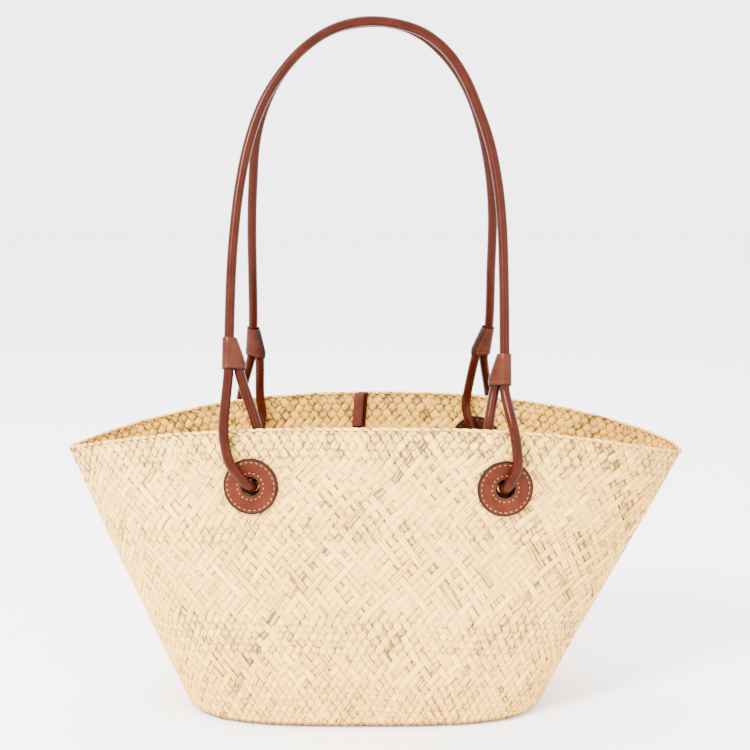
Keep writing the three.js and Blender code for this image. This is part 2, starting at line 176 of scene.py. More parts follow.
def wallPoint(x, height, side):
    plan = planAt(height, body["wall"] / 2)
    share = abs(x - plan["centre"]) / plan["halfLength"]
    cosine = share ** (1 / plan["along"])
    power = plan["leftEnd"] if x < plan["centre"] else plan["rightEnd"]
    y = plan["halfDepth"] * (1 - cosine * cosine) ** (power / 2)
    return np.array([x, side * y, levelHeight(height, share)])


def unit(v):
    return v / np.linalg.norm(v)


def wallFrame(x, drop, side):
    # a place on the wall's middle, drop mm under the rim, with its directions along, up and out,
    # read off from points 1 mm to either side and from a hundredth of the height below
    height = 1 - drop / body["rimHeight"]
    origin = wallPoint(x, height, side)
    along = unit(wallPoint(x + 1, height, side) - wallPoint(x - 1, height, side))
    up = origin - wallPoint(x, height - 0.01, side)
    up = unit(up - along * up.dot(along))
    out = np.cross(along, up) * -side
    return {"origin": origin, "along": along, "up": up, "out": out}


def placeIn(place, along, up, out):
    return place["origin"] + place["along"] * along + place["up"] * up + place["out"] * out


# The plait, in millimetres where a note says nothing else
weave = {
    "strands": 144,  # in each of the two directions
    "flat": 8,  # how far the wall's strands run on under the base
    "topMargin": 1.5,
    "strandThickness": 0.78,
    "rise": 0.5,  # how far a strand stands off the wall's middle at a crossing
    "floatLift": 0.18,  # how much farther off where it floats over several
    "section": [(-1, 0), (-0.6, -1), (0.6, -1), (1, 0), (0.6, 1), (-0.6, 1)],  # across, out
    "edgeCurl": 0.38,
    "flatCurl": 0.75,  # how much of the curl a resting strand loses
    "width": 1.12,  # in strand pitches, and how much narrower where it floats and where it dives
    "floatWaist": 0.02,
    "diveWaist": 0.02,
    "uneven": (0.025, 14),  # a strand's own changes of width: spread, knots
    "spread": (0.03, 0.93, 1.06),  # strands' widths among each other: spread, least, most
    "wander": (0.05, 9),  # how far a strand strays, in pitches: spread, knots
    "ripple": (0.2, 1.1),  # how far rows and strands wander together: strand pitches, mm up the wall
    "waves": {"count": 16, "turns": (2, 14), "climb": (0.3, 3), "shift": 0.37, "calmEnds": 8},
    "tone": (0.52, 0.15),  # middle and spread of the strands' tones
    "insideShade": 1.25,
    "edgeShade": 0.1,
    # painted shade in the gaps of the plain crossings: share of them, and how dark
    "shadedPits": [(0.4, 0.22), (0.07, 0.6)],  # share of the plain crossings that are darker, by how much
    # painted shade in the float bands' gaps: share of them, and how dark
    "shadedFloatPits": (0.03, 0.7),
    "uvSteps": (1.73, 3.1),  # from strand to strand, so that no two look alike
    "crowd": {"front": (-0.17, 0.06), "back": (-0.17, -0.1)},  # closer at the middle: base, rim
    "columns": 4 * 120,
    "levels": {"flat": 5, "round": 9, "wall": 80},
    "seed": 11,
    # bands from the rim down, each with its rows, their pitch and how dark the painted shade in its gaps is
    "bands": [
        {"kind": "plain", "rows": 4, "pitch": 4.3, "shade": 0.85},
        {"kind": "broken", "rows": 11, "pitch": 2.9, "shade": 0.36},
        {"kind": "plain", "rows": 4, "pitch": 3.6, "shade": 0.6},
        {"kind": "block", "rows": 14, "pitch": 3.0, "shade": 0.36},
        {"kind": "plain", "rows": 6, "pitch": 4.2, "shade": 0.66},
        {"kind": "twill", "rows": 4, "pitch": 3.3, "shade": 0.5},
        {"kind": "plain", "rows": 11, "pitch": 3.6, "shade": 0.56},
    ],
    # strand i lies over strand j where (i * step + j + block) mod repeat < over; cuts are the rings
    # of points that a strand has from row to row
    "kinds": {
        "plain": {"step": 1, "repeat": 2, "over": 1, "block": 0, "cuts": 4},
        "broken": {"step": 2, "repeat": 4, "over": 2, "block": 0, "cuts": 2},
        "block": {"step": 1, "repeat": 4, "over": 2, "block": 2, "cuts": 2},
        "twill": {"step": 1, "repeat": 4, "over": 2, "block": 0, "cuts": 2},
    },
    "blockRows": 3,
    "slips": 0.3,  # share of strand groups whose float pattern slips out of step
    "slipGroups": (6, 8, 30),  # strands in a group: rising right, rising left, and most groups
    "flips": 0.045,  # share of crossings in the float bands that lie the other way
}
# Round an eyelet's hole the strands are pushed apart and lie in its shadow
strandHole = {
    "push": 6.5,
    "reach": 15.2,
    "depth": 12,
    "crush": 0.3,
    "shade": 0.95,
    "shadeMiddle": 0.65,
    "shadeLeast": 0.1,
    "shadeFall": 9,
    "shadeReach": 7,
}


def profileLevels():
    # height share and inset of the wall's middle surface, from under the base to the rim
    half = body["wall"] / 2
    mid = body["bottomRound"] - half
    count = weave["levels"]
    flat = np.linspace(weave["flat"], 0, count["flat"])[:-1]
    levels = [(half / body["rimHeight"], body["bottomRound"] + back) for back in flat]
    for turn in np.radians(np.linspace(0, 90, count["round"])):
        height = (half + mid * (1 - math.cos(turn))) / body["rimHeight"]
        levels.append((height, half + mid * (1 - math.sin(turn))))
    levels += [(height, half) for height in np.linspace(levels[-1][0], 1, count["wall"])[1:]]
    return levels


def surfaceTable():
    # the wall's middle surface: columns round the bag, rows up from under the base
    columns = weave["columns"]
    quarter = columns // 4
    q = np.linspace(0, 1, quarter + 1)
    rows = []
    for height, inset in profileLevels():
        plan = planAt(height, inset)
        quarters = []
        for side in ("back", "front"):
            shares = q + mix(*weave["crowd"][side], height) * q * (1 - q)
            quarters.append(quarterPlan(plan, plan["rightEnd"], shares))
            quarters.append(quarterPlan(plan, plan["leftEnd"], shares))
        (bx, by), (cx, cy), (fx, fy), (gx, gy) = quarters  # right and left: back, then front
        x = np.concatenate([bx[:-1], -cx[:0:-1], -gx[:-1], fx[:0:-1]])
        y = np.concatenate([by[:-1], cy[:0:-1], -gy[:-1], -fy[:0:-1]])
        z = levelHeight(height, np.abs(x) / plan["halfLength"])
        rows.append(np.stack([plan["centre"] + x, y, z], axis=1))
    points = np.array(rows)
    steps = np.linalg.norm(np.diff(points[:, (columns * 3) // 4], axis=0), axis=1)
    length = np.concatenate([[0], np.cumsum(steps)])
    around = np.roll(points, -1, axis=1) - np.roll(points, 1, axis=1)
    upward = np.gradient(points, length, axis=0)
    normals = np.cross(around, upward)
    normals /= np.linalg.norm(normals, axis=2, keepdims=True)
    return {"points": points, "normals": normals, "length": length}


surface = surfaceTable()


def onSurface(u, length):
    # bilinear read of the table: middle points and outward normals
    columns = weave["columns"]
    column = np.mod(u, 1) * columns
    left = np.floor(column).astype(int)
    right = (left + 1) % columns
    left = left % columns
    across = np.mod(column, 1)[..., None]
    level = np.interp(length, surface["length"], np.arange(len(surface["length"])))
    low = np.minimum(np.floor(level).astype(int), len(surface["length"]) - 2)
    above = (level - low)[..., None]
    result = []
    for table in (surface["points"], surface["normals"]):
        a = table[low, left] * (1 - across) + table[low, right] * across
        b = table[low + 1, left] * (1 - across) + table[low + 1, right] * across
        result.append(a * (1 - above) + b * above)
    return result[0], result[1] / np.linalg.norm(result[1], axis=-1, keepdims=True)


def meshFrom(name, vertices, faces, material):
    mesh = bpy.data.meshes.new(name)
    mesh.from_pydata(np.asarray(vertices).tolist(), [], [list(face) for face in faces])
    mesh.materials.append(material)
    piece = bpy.data.objects.new(name, mesh)
    bpy.context.scene.collection.objects.link(piece)
    mesh.shade_smooth()
    return piece


def tubeFaces(count, rings, sides, closed=False):
    # quads of many tubes whose vertices follow each other; a closed tube joins its own ends
    ring, side = np.meshgrid(np.arange(rings - (not closed)), np.arange(sides), indexing="ij")
    nextRing = (ring + 1) % rings
    nextSide = (side + 1) % sides
    turns = [(ring, side), (ring, nextSide), (nextRing, nextSide), (nextRing, side)]
    quads = np.stack([r * sides + s for r, s in turns], axis=-1).reshape(-1, 4)
    offsets = (np.arange(count) * rings * sides)[:, None, None]
    return (quads[None] + offsets).reshape(-1, 4)


def capFaces(count, rings, sides):
    # one face over each end of every tube
    faces = []
    for tube in range(count):
        start = tube * rings * sides
        end = start + (rings - 1) * sides
        faces.append([start + k for k in reversed(range(sides))])
        faces.append([end + k for k in range(sides)])
    return faces


def fillColours(mesh, name, values):
    attribute = mesh.color_attributes.new(name=name, type="FLOAT_COLOR", domain="POINT")
    flat = np.ones((len(mesh.vertices), 4), np.float32)
    flat[:, :3] = values
    attribute.data.foreach_set("color", flat.ravel())


def fillUv(mesh, name, values):
    layer = mesh.uv_layers.new(name=name)
    corners = np.zeros(len(mesh.loops), np.int32)
    mesh.loops.foreach_get("vertex_index", corners)
    layer.data.foreach_set("uv", np.asarray(values, np.float32)[corners].ravel())


# Materials
def nodeTree(name):
    material = bpy.data.materials.new(name)
    material.use_nodes = True
    tree = material.node_tree
    return material, tree, tree.nodes["Principled BSDF"]


def addNode(tree, kind, **settings):
    node = tree.nodes.new(kind)
    for key, value in settings.items():
        setattr(node, key, value)
    return node


def setInputs(node, values):
    for name, value in values.items():
        node.inputs[name].default_value = value


def addNoise(tree, vector, scale, detail, rough):
    noise = addNode(tree, "ShaderNodeTexNoise")
    setInputs(noise, {"Scale": scale, "Detail": detail, "Roughness": rough})
    tree.links.new(vector, noise.inputs["Vector"])
    return noise.outputs["Fac"]


def addRamp(tree, value, stops):
    ramp = addNode(tree, "ShaderNodeValToRGB")
    while len(ramp.color_ramp.elements) < len(stops):
        ramp.color_ramp.elements.new(0.5)
    for element, (place, colour) in zip(ramp.color_ramp.elements, stops):
        element.position = place
        element.color = (*colour, 1)
    tree.links.new(value, ramp.inputs["Fac"])
    return ramp.outputs["Color"]


def greys(stops):
    return [(place, (grey,) * 3) for place, grey in stops]


def addMix(tree, kind, share, a, b):
    node = addNode(tree, "ShaderNodeMix", data_type="RGBA", blend_type=kind)
    if isinstance(share, (int, float)):
        node.inputs["Factor"].default_value = share
    else:
        tree.links.new(share, node.inputs["Factor"])
    for socket, value in ((node.inputs["A"], a), (node.inputs["B"], b)):
        if isinstance(value, tuple):
            socket.default_value = (*value, 1)
        else:
            tree.links.new(value, socket)
    return node.outputs["Result"]


def addMath(tree, operation, a, b):
    node = addNode(tree, "ShaderNodeMath", operation=operation)
    for socket, value in zip(node.inputs, (a, b)):
        if isinstance(value, (int, float)):
            socket.default_value = value
        else:
            tree.links.new(value, socket)
    return node.outputs["Value"]


def addStretched(tree, vector, stretch, scale, detail, rough):
    node = addNode(tree, "ShaderNodeMapping")
    node.inputs["Scale"].default_value = stretch
    tree.links.new(vector, node.inputs["Vector"])
    return addNoise(tree, node.outputs["Vector"], scale, detail, rough)


def addBump(tree, shader, height, strength, distance):
    bump = addNode(tree, "ShaderNodeBump")
    setInputs(bump, {"Strength": strength, "Distance": distance})
    tree.links.new(height, bump.inputs["Height"])
    tree.links.new(bump.outputs["Normal"], shader.inputs["Normal"])


strawLook = {
    # stretch across and along a strand, scale, detail, roughness
    "streaks": ((3.4, 0.3, 1), 1.5, 3, 0.6),
    "fibres": ((6, 0.5, 1), 1.5, 3, 0.65),
    "blotches": ((0.6, 1.0, 1), 1.3, 2, 0.5),
    "streakShare": 2.6,  # how strongly the tone follows the streaks, and the tone's own level
    "level": -1.24,
    "tones": [
        (0.0, (0.14, 0.083, 0.024)),
        (0.07, (0.27, 0.158, 0.042)),
        (0.16, (0.48, 0.285, 0.074)),
        (0.36, (0.72, 0.42, 0.085)),
        (0.6, (0.85, 0.5, 0.105)),
        (0.85, (0.91, 0.56, 0.14)),
        (1.0, (0.95, 0.64, 0.21)),
    ],
    "pink": (0.88, 0.42, 0.125),
    "pinkFrom": [(0.56, 0), (0.8, 0.55)],  # blotch and share
    "green": (0.66, 0.5, 0.1),
    "greenFrom": [(0.72, 0), (1.0, 0.4)],  # strand's hue and share
    # painted shade on the faces inside the bag: its colour, and how much of it
    "inside": (0.78, 0.66, 0.2),
    "insideShadeShare": 0.75,
    # browner and darker towards the foot; painted shade towards the right end and a painted contact shadow
    # along the underside, in metres
    "fades": [
        {"axis": "Z", "reach": (0.06, 0.0), "ease": "LINEAR", "share": 0.55, "colour": (0.96, 0.8, 0.58)},
        # painted shade at the right end
        {"axis": "X", "reach": (0.07, 0.185), "ease": "SMOOTHSTEP", "share": 1, "colour": (0.82, 0.73, 0.6)},
        # painted contact shadow along the underside
        {"axis": "Z", "reach": (0.0042, 0.001), "ease": "LINEAR", "share": 1, "colour": (0.3, 0.2, 0.12)},
    ],
    "roughness": 0.62,
    "specular": 0.15,
    "bump": (0.7, 0.0004),  # strength, depth
}


def makeStrawMaterial():
    material, tree, shader = nodeTree("straw_plait")
    look = strawLook
    strand = addNode(tree, "ShaderNodeUVMap", uv_map="strand").outputs["UV"]
    tint = addNode(tree, "ShaderNodeAttribute", attribute_name="tint")
    parts = addNode(tree, "ShaderNodeSeparateColor")
    tree.links.new(tint.outputs["Color"], parts.inputs["Color"])
    streaks = addStretched(tree, strand, *look["streaks"])
    fibres = addStretched(tree, strand, *look["fibres"])
    blotches = addStretched(tree, strand, *look["blotches"])
    tone = addMath(tree, "MULTIPLY_ADD", streaks, look["streakShare"])
    tree.links.new(parts.outputs["Red"], tone.node.inputs[2])
    tone = addMath(tree, "ADD", tone, look["level"])
    colour = addRamp(tree, tone, look["tones"])
    pinkShare = addRamp(tree, blotches, greys(look["pinkFrom"]))
    colour = addMix(tree, "MIX", pinkShare, colour, look["pink"])
    greenShare = addRamp(tree, parts.outputs["Green"], greys(look["greenFrom"]))
    colour = addMix(tree, "MIX", greenShare, colour, look["green"])
    # painted shade: faces inside the bag are multiplied towards a darker gold
    insideShadeShare = addMath(tree, "MULTIPLY", parts.outputs["Blue"], look["insideShadeShare"])
    colour = addMix(tree, "MULTIPLY", insideShadeShare, colour, look["inside"])
    split = addNode(tree, "ShaderNodeSeparateXYZ")
    tree.links.new(addNode(tree, "ShaderNodeTexCoord").outputs["Object"], split.inputs["Vector"])
    for fade in look["fades"]:
        share = addNode(tree, "ShaderNodeMapRange", interpolation_type=fade["ease"])
        start, end = fade["reach"]
        setInputs(share, {"From Min": start, "From Max": end, "To Max": fade["share"]})
        tree.links.new(split.outputs[fade["axis"]], share.inputs["Value"])
        colour = addMix(tree, "MULTIPLY", share.outputs["Result"], colour, fade["colour"])
    tree.links.new(colour, shader.inputs["Base Color"])
    setInputs(shader, {"Roughness": look["roughness"], "Specular IOR Level": look["specular"]})
    addBump(tree, shader, fibres, *look["bump"])
    return material


strawMaterial = makeStrawMaterial()

# Leather and thread: what a look doesn't say is as in the first dictionary
commonLook = {
    "places": (0.3, 0.55, 0.8), "specular": 0.12, "tint": (1.0, 0.6, 0.5), "coat": 0.0, "grain": 0.3,
}
leatherLooks = {
    "cord_leather": {
        "tones": [(0.021, 0.0026, 0.001), (0.032, 0.0043, 0.0017), (0.045, 0.007, 0.003)],
        "rough": (0.24, 0.32), "tint": (1.0, 0.48, 0.34), "coat": 0.06, "grain": 0.12,
    },
    "disc_leather": {
        "tones": [(0.038, 0.0065, 0.0027), (0.056, 0.0108, 0.0045), (0.074, 0.0165, 0.0072)],
        "rough": (0.36, 0.5), "specular": 0.1, "tint": (1.0, 0.58, 0.42), "coat": 0.03,
    },
    "tan_leather": {
        "tones": [(0.026, 0.0044, 0.0016), (0.044, 0.0088, 0.0034), (0.07, 0.0165, 0.0068)],
        "rough": (0.32, 0.46), "specular": 0.14, "tint": (1.0, 0.6, 0.45), "coat": 0.05,
    },
    "painted_edge": {
        "tones": [(0.006, 0.0025, 0.002), (0.014, 0.006, 0.004)],
        "places": (0.3, 0.7), "rough": (0.45, 0.6), "tint": (1.0, 0.7, 0.55), "coat": 0.02,
    },
    "loop_leather": {
        "tones": [(0.058, 0.0145, 0.0088), (0.076, 0.021, 0.0132), (0.095, 0.029, 0.019)],
        "rough": (0.5, 0.62), "tint": (1.0, 0.7, 0.55),
    },
    "waxed_thread": {
        "tones": [(0.22, 0.085, 0.042), (0.3, 0.125, 0.065), (0.4, 0.18, 0.1)],
        "rough": (0.6, 0.75), "specular": 0.1, "tint": (1.0, 0.7, 0.55), "grain": 0.4,
    },
    "loop_shaded_rear": {
        "tones": [(0.016, 0.0025, 0.0015), (0.03, 0.005, 0.003)],
        "places": (0.3, 0.7), "rough": (0.55, 0.7), "specular": 0.08,
    },
    # painted shade: the washers inside the bag are a darker copy of the washers' leather
    "inner_washer_shaded_leather": {
        "tones": [(0.011, 0.0026, 0.0013), (0.018, 0.0042, 0.002), (0.027, 0.0068, 0.0032)],
        "rough": (0.45, 0.6), "specular": 0.08,
    },
    "dull_thread": {
        "tones": [(0.085, 0.026, 0.0125), (0.12, 0.04, 0.02), (0.16, 0.058, 0.03)],
        "places": (0.3, 0.6, 0.85), "rough": (0.6, 0.8), "specular": 0.1, "tint": (1.0, 0.8, 0.7),
    },
}
leatherSkin = {
    "clouds": (90, 4, 0.6),  # scale, detail, roughness
    "grain": (1800, 3, 0.6),
    # painted highlight: lighter streaks along the cords
    "streaks": ((9, 0.25, 1), 2.5, 3, 0.6),
    "streakTones": [(0.3, (0.72, 0.68, 0.66)), (0.7, (1.0, 1.0, 1.0))],
    "streakShare": 0.8,  # on the cords only
    "coatRoughness": 0.2,
    "grainDepth": 0.0002,
}


def makeLeatherMaterial(name, look):
    material, tree, shader = nodeTree(name)
    skin = leatherSkin
    place = addNode(tree, "ShaderNodeTexCoord").outputs["Object"]
    clouds = addNoise(tree, place, *skin["clouds"])
    grain = addNoise(tree, place, *skin["grain"])
    colour = addRamp(tree, clouds, list(zip(look["places"], look["tones"])))
    # painted highlight streaks along the cords
    if name == "cord_leather":
        strand = addNode(tree, "ShaderNodeUVMap", uv_map="strand").outputs["UV"]
        shade = addRamp(tree, addStretched(tree, strand, *skin["streaks"]), skin["streakTones"])
        colour = addMix(tree, "MULTIPLY", skin["streakShare"], colour, shade)
    tree.links.new(colour, shader.inputs["Base Color"])
    worn = addRamp(tree, clouds, greys(zip((0.3, 0.7), look["rough"])))
    tree.links.new(worn, shader.inputs["Roughness"])
    setInputs(shader, {"Specular IOR Level": look["specular"], "Specular Tint": (*look["tint"], 1)})
    setInputs(shader, {"Coat Weight": look["coat"], "Coat Roughness": skin["coatRoughness"]})
    addBump(tree, shader, grain, look["grain"], skin["grainDepth"])
    return material


leathers = {
    name: makeLeatherMaterial(name, {**commonLook, **look}) for name, look in leatherLooks.items()
}
print("materials made")


# Where the leather goes: the same tables as in the solids, in millimetres.
# A leg's places are across from its eyelet and up, as a share of the way to the rim.
leather = {
    "cord": 5.8,
    "disc": 31,
    "discThickness": 2,
    "sleeveLength": 19,
    "clearance": 0.3,
    "lipExtra": 0.4,
    "legSlack": 0.4,
    "legSplay": 0.6,
    "tuck": 3,
    "cordSag": 0.5,
    "seatSpots": 24,
    "handleRise": 227,
    "archFoot": 53,
    "cordGap": 0.3,
}
corners = {
    "front_left": {
        "side": -1, "eyelet": (-68.5, 32.5), "sleeve": (-81.4, 31, 0.2),
        "outerLeg": [(-9.6, 0.42), (-13.2, 0.74), (-14, 1.02)],
        "innerLeg": [(3.6, 0.42), (3.6, 0.74), (1.8, 1.02)],
    },
    "front_right": {
        "side": -1, "eyelet": (73.7, 32.8), "sleeve": (73.7, 22, 0.1),
        "outerLeg": [(4.6, 0.4), (5.6, 0.68), (3.8, 1.02)],
        "innerLeg": [(-6, 0.42), (-8.6, 0.74), (-8.6, 1.02)],
    },
    "back_left": {
        "side": 1, "eyelet": (-78.5, 38), "sleeve": (-78.2, 26.5, 1.8),
        "outerLeg": [(-5, 0.42), (-6.4, 0.74), (-6, 1.02)],
        "innerLeg": [(5, 0.42), (5.6, 0.74), (4.4, 1.02)],
    },
    "back_right": {
        "side": 1, "eyelet": (66.8, 29.5), "sleeve": (70.9, 27, 2.4),
        "outerLeg": [(6, 0.42), (8.2, 0.74), (7.6, 1.02)],
        "innerLeg": [(-5, 0.42), (-6.6, 0.74), (-5.8, 1.02)],
    },
}
handles = {
    "handle_front": {
        "ends": ("front_left", "front_right"),
        "arch": [
            (0.005, 0.188), (0.014, 0.316), (0.032, 0.459), (0.064, 0.603), (0.115, 0.731),
            (0.183, 0.83), (0.265, 0.911), (0.369, 0.973), (0.485, 1), (0.601, 0.994),
            (0.71, 0.962), (0.798, 0.9), (0.863, 0.815), (0.912, 0.712), (0.953, 0.603),
            (0.981, 0.475), (0.995, 0.347), (1, 0.184),
        ],
    },
    "handle_back": {
        "ends": ("back_left", "back_right"),
        "arch": [
            (0.005, 0.144), (0.009, 0.316), (0.019, 0.459), (0.039, 0.617), (0.081, 0.735),
            (0.15, 0.838), (0.237, 0.917), (0.347, 0.976), (0.474, 1), (0.594, 0.995),
            (0.697, 0.961), (0.784, 0.901), (0.851, 0.83), (0.904, 0.745), (0.953, 0.618),
            (0.985, 0.48), (0.999, 0.344), (1, 0.161),
        ],
    },
}
cordRadius = leather["cord"] / 2
discReach = leather["discThickness"] + leather["clearance"] + cordRadius


def wallBulge(place, along, up, side):
    # how far the wall stands out of a place's own plane
    point = placeIn(place, along, up, 0)
    share = abs(point[0]) / planAt(1, body["wall"] / 2)["halfLength"]
    height = point[2] / levelHeight(1, share)
    return (wallPoint(point[0], height, side)[1] - point[1]) / place["out"][1]


def discSeats(place, side):
    # how far out and in the two washers sit, so that they clear the curved wall
    reach = body["wall"] / 2 + leather["clearance"]
    rim = leather["disc"] / 2
    angles = np.arange(leather["seatSpots"]) * 2 * math.pi / leather["seatSpots"]
    bulges = [0] + [wallBulge(place, rim * math.cos(a), rim * math.sin(a), side) for a in angles]
    return {"outer": max(bulges) + reach, "inner": min(bulges) - reach}


for corner in corners.values():
    corner["frame"] = wallFrame(*corner["eyelet"], corner["side"])
    corner["seats"] = discSeats(corner["frame"], corner["side"])


# The plaited wall
def rowTable():
    # from the base up: length along the wall of every crossing row and the band it belongs to
    top = surface["length"][-1] - weave["topMargin"]
    stretch = top / sum(band["rows"] * band["pitch"] for band in weave["bands"])
    lengths, kinds = [top], []
    for band in weave["bands"]:
        for _ in range(band["rows"]):
            lengths.append(lengths[-1] - band["pitch"] * stretch)
            kinds.append({**band, **weave["kinds"][band["kind"]]})
    kinds = kinds[::-1]
    return np.maximum(lengths[::-1], 0), kinds + kinds[-1:]


rowLengths, rowBands = rowTable()
rowCount = len(rowLengths) - 1
groupA, groupB, groups = weave["slipGroups"]
draw = np.random.default_rng(weave["seed"] + 2)
slips = np.where(draw.random((2, groups)) < weave["slips"], draw.integers(1, 4, (2, groups)), 0)
flips = draw.random((weave["strands"], weave["strands"])) < weave["flips"]


def onTop(row, i, j):
    # whether the strand rising right, number i, lies over the one rising left, number j
    band = rowBands[row]
    if band["repeat"] == 2:
        return np.mod(i + j, 2) < 1
    i, j = np.mod(i, weave["strands"]), np.mod(j, weave["strands"])
    block = band["block"] * (row // weave["blockRows"]) + slips[0, i // groupA] + slips[1, j // groupB]
    over = np.mod(i * band["step"] + j + block, band["repeat"]) < band["over"]
    return over ^ flips[i, j]


# Smooth waves round and up the wall that both directions share, so crossings stay matched
draw = np.random.default_rng(weave["seed"] + 1)
waves = []
for _ in range(weave["waves"]["count"]):
    turns = draw.integers(*weave["waves"]["turns"])
    climb = draw.uniform(*weave["waves"]["climb"])
    waves.append((turns, climb, draw.uniform(0, 2 * np.pi), draw.normal()))


def ripple(u, share):
    total = sum(
        size * np.sin(2 * np.pi * (turns * u + climb * share) + start)
        for turns, climb, start, size in waves
    )
    return total / math.sqrt(len(waves) / 2)


def stationRows():
    # where the strands have a ring of points, counted in rows
    rows = []
    for row in range(rowCount):
        cuts = rowBands[row]["cuts"]
        rows += [row + k / cuts for k in range(cuts)]
    rows.append(rowCount)
    return np.array(rows)


def partAtHoles(point, tangent):
    # every strand goes past an eyelet's hole on its own side
    hole = strandHole
    far = hole["reach"]
    crush, shaded = np.zeros(point.shape[:2]), np.zeros(point.shape[:2])
    for corner in corners.values():
        place = corner["frame"]
        rel = point - place["origin"]
        a, b, c = (rel @ place[axis] for axis in ("along", "up", "out"))
        deep = np.abs(c) < hole["depth"]
        near = (np.hypot(a, b) < far) & deep
        if not near.any():
            continue
        way = tangent[near].mean(axis=0)
        way = unit(np.array([way @ place["along"], way @ place["up"]]))
        t, d = a * way[0] + b * way[1], b * way[0] - a * way[1]
        nearest = np.argmin(np.abs(t) + 1e3 * ~deep, axis=1)
        sign = np.where(d[np.arange(len(d)), nearest] < 0, -1, 1)[:, None]
        share = np.clip(1 - np.abs(d) / far, 0, 1) * np.clip(1 - (t / far) ** 2, 0, 1) ** 2
        share = np.where(deep, share, 0)
        aside = place["up"] * way[0] - place["along"] * way[1]
        point = point + (sign * share * hole["push"])[..., None] * aside
        crush = np.maximum(crush, share)
        shadow = np.clip(hole["shadeMiddle"] + b / hole["shadeFall"], hole["shadeLeast"], 1)
        shaded = np.maximum(shaded, share * shadow * (np.abs(t) < hole["shadeReach"]))
    return point, crush, shaded


def strawPiece(name, points, faces, tint, uv):
    piece = meshFrom(name, points.reshape(-1, 3) * mm, faces, strawMaterial)
    fillColours(piece.data, "tint", tint.reshape(-1, 3))
    fillUv(piece.data, "strand", uv.reshape(-1, 2))
    return piece


def betweenKnots(rows, values):
    # reads evenly spaced knots of every strand at the given rows
    knots = np.linspace(0, rowCount, values.shape[1])
    return np.array([np.interp(rows, knots, line) for line in values])


def crossingStates(numbers, direction):
    # 1 where a strand lies on top, -1 where it lies under
    states = np.zeros((len(numbers), rowCount + 1))
    for row in range(rowCount + 1):
        pair = (numbers, numbers + row) if direction > 0 else (numbers - row, numbers)
        states[:, row] = np.where(onTop(row, *pair), direction, -direction)
    return states


def strandTint(state, low, shaded, chance):
    # red: tone less the painted shade, green: hue, blue: how far a point faces inside, for the painted shade
    # there
    count = len(state)
    tone = np.clip(chance.normal(*weave["tone"], count), 0, 1)
    hue = chance.random(count)
    tint = np.zeros((*state.shape, len(weave["section"]), 3))
    # painted shade: paler on top, darker under a crossing and along the edges, where the strands shade each
    # other
    sunk = np.clip(0.5 - state / 2, 0, 1)[..., None]
    edge, outFace, inFace = np.array([[1, 0, 0, 1, 0, 0], [0, 0, 0, 0, 1, 1], [0, 1, 1, 0, 0, 0]])
    turning = (1 - np.abs(state))[..., None]
    bandShade = np.array([band["shade"] for band in rowBands])[low][None, :, None]
    tint[..., 0] = tone[:, None, None] - edge * (weave["edgeShade"] + bandShade * turning)
    tint[..., 0] -= bandShade * (outFace * sunk + weave["insideShade"] * inFace * (1 - sunk))
    # painted shade: little gaps between the strands show as dark dots
    plain = np.array([band["kind"] == "plain" for band in rowBands[:rowCount]])[None, :]
    shadedPits = np.zeros((count, rowCount))
    for often, depth in weave["shadedPits"]:
        shadedPits += depth * (chance.random(shadedPits.shape) < often) * plain
    often, depth = weave["shadedFloatPits"]
    shadedPits += depth * (chance.random(shadedPits.shape) < often) * ~plain
    tint[..., 0] -= edge * turning * shadedPits[:, low][..., None]
    tint[..., 0] -= strandHole["shade"] * shaded[..., None]
    tint[..., 1] = hue[:, None, None]
    tint[..., 2] = (edge / 2 + inFace)[None, None, :]
    return tint


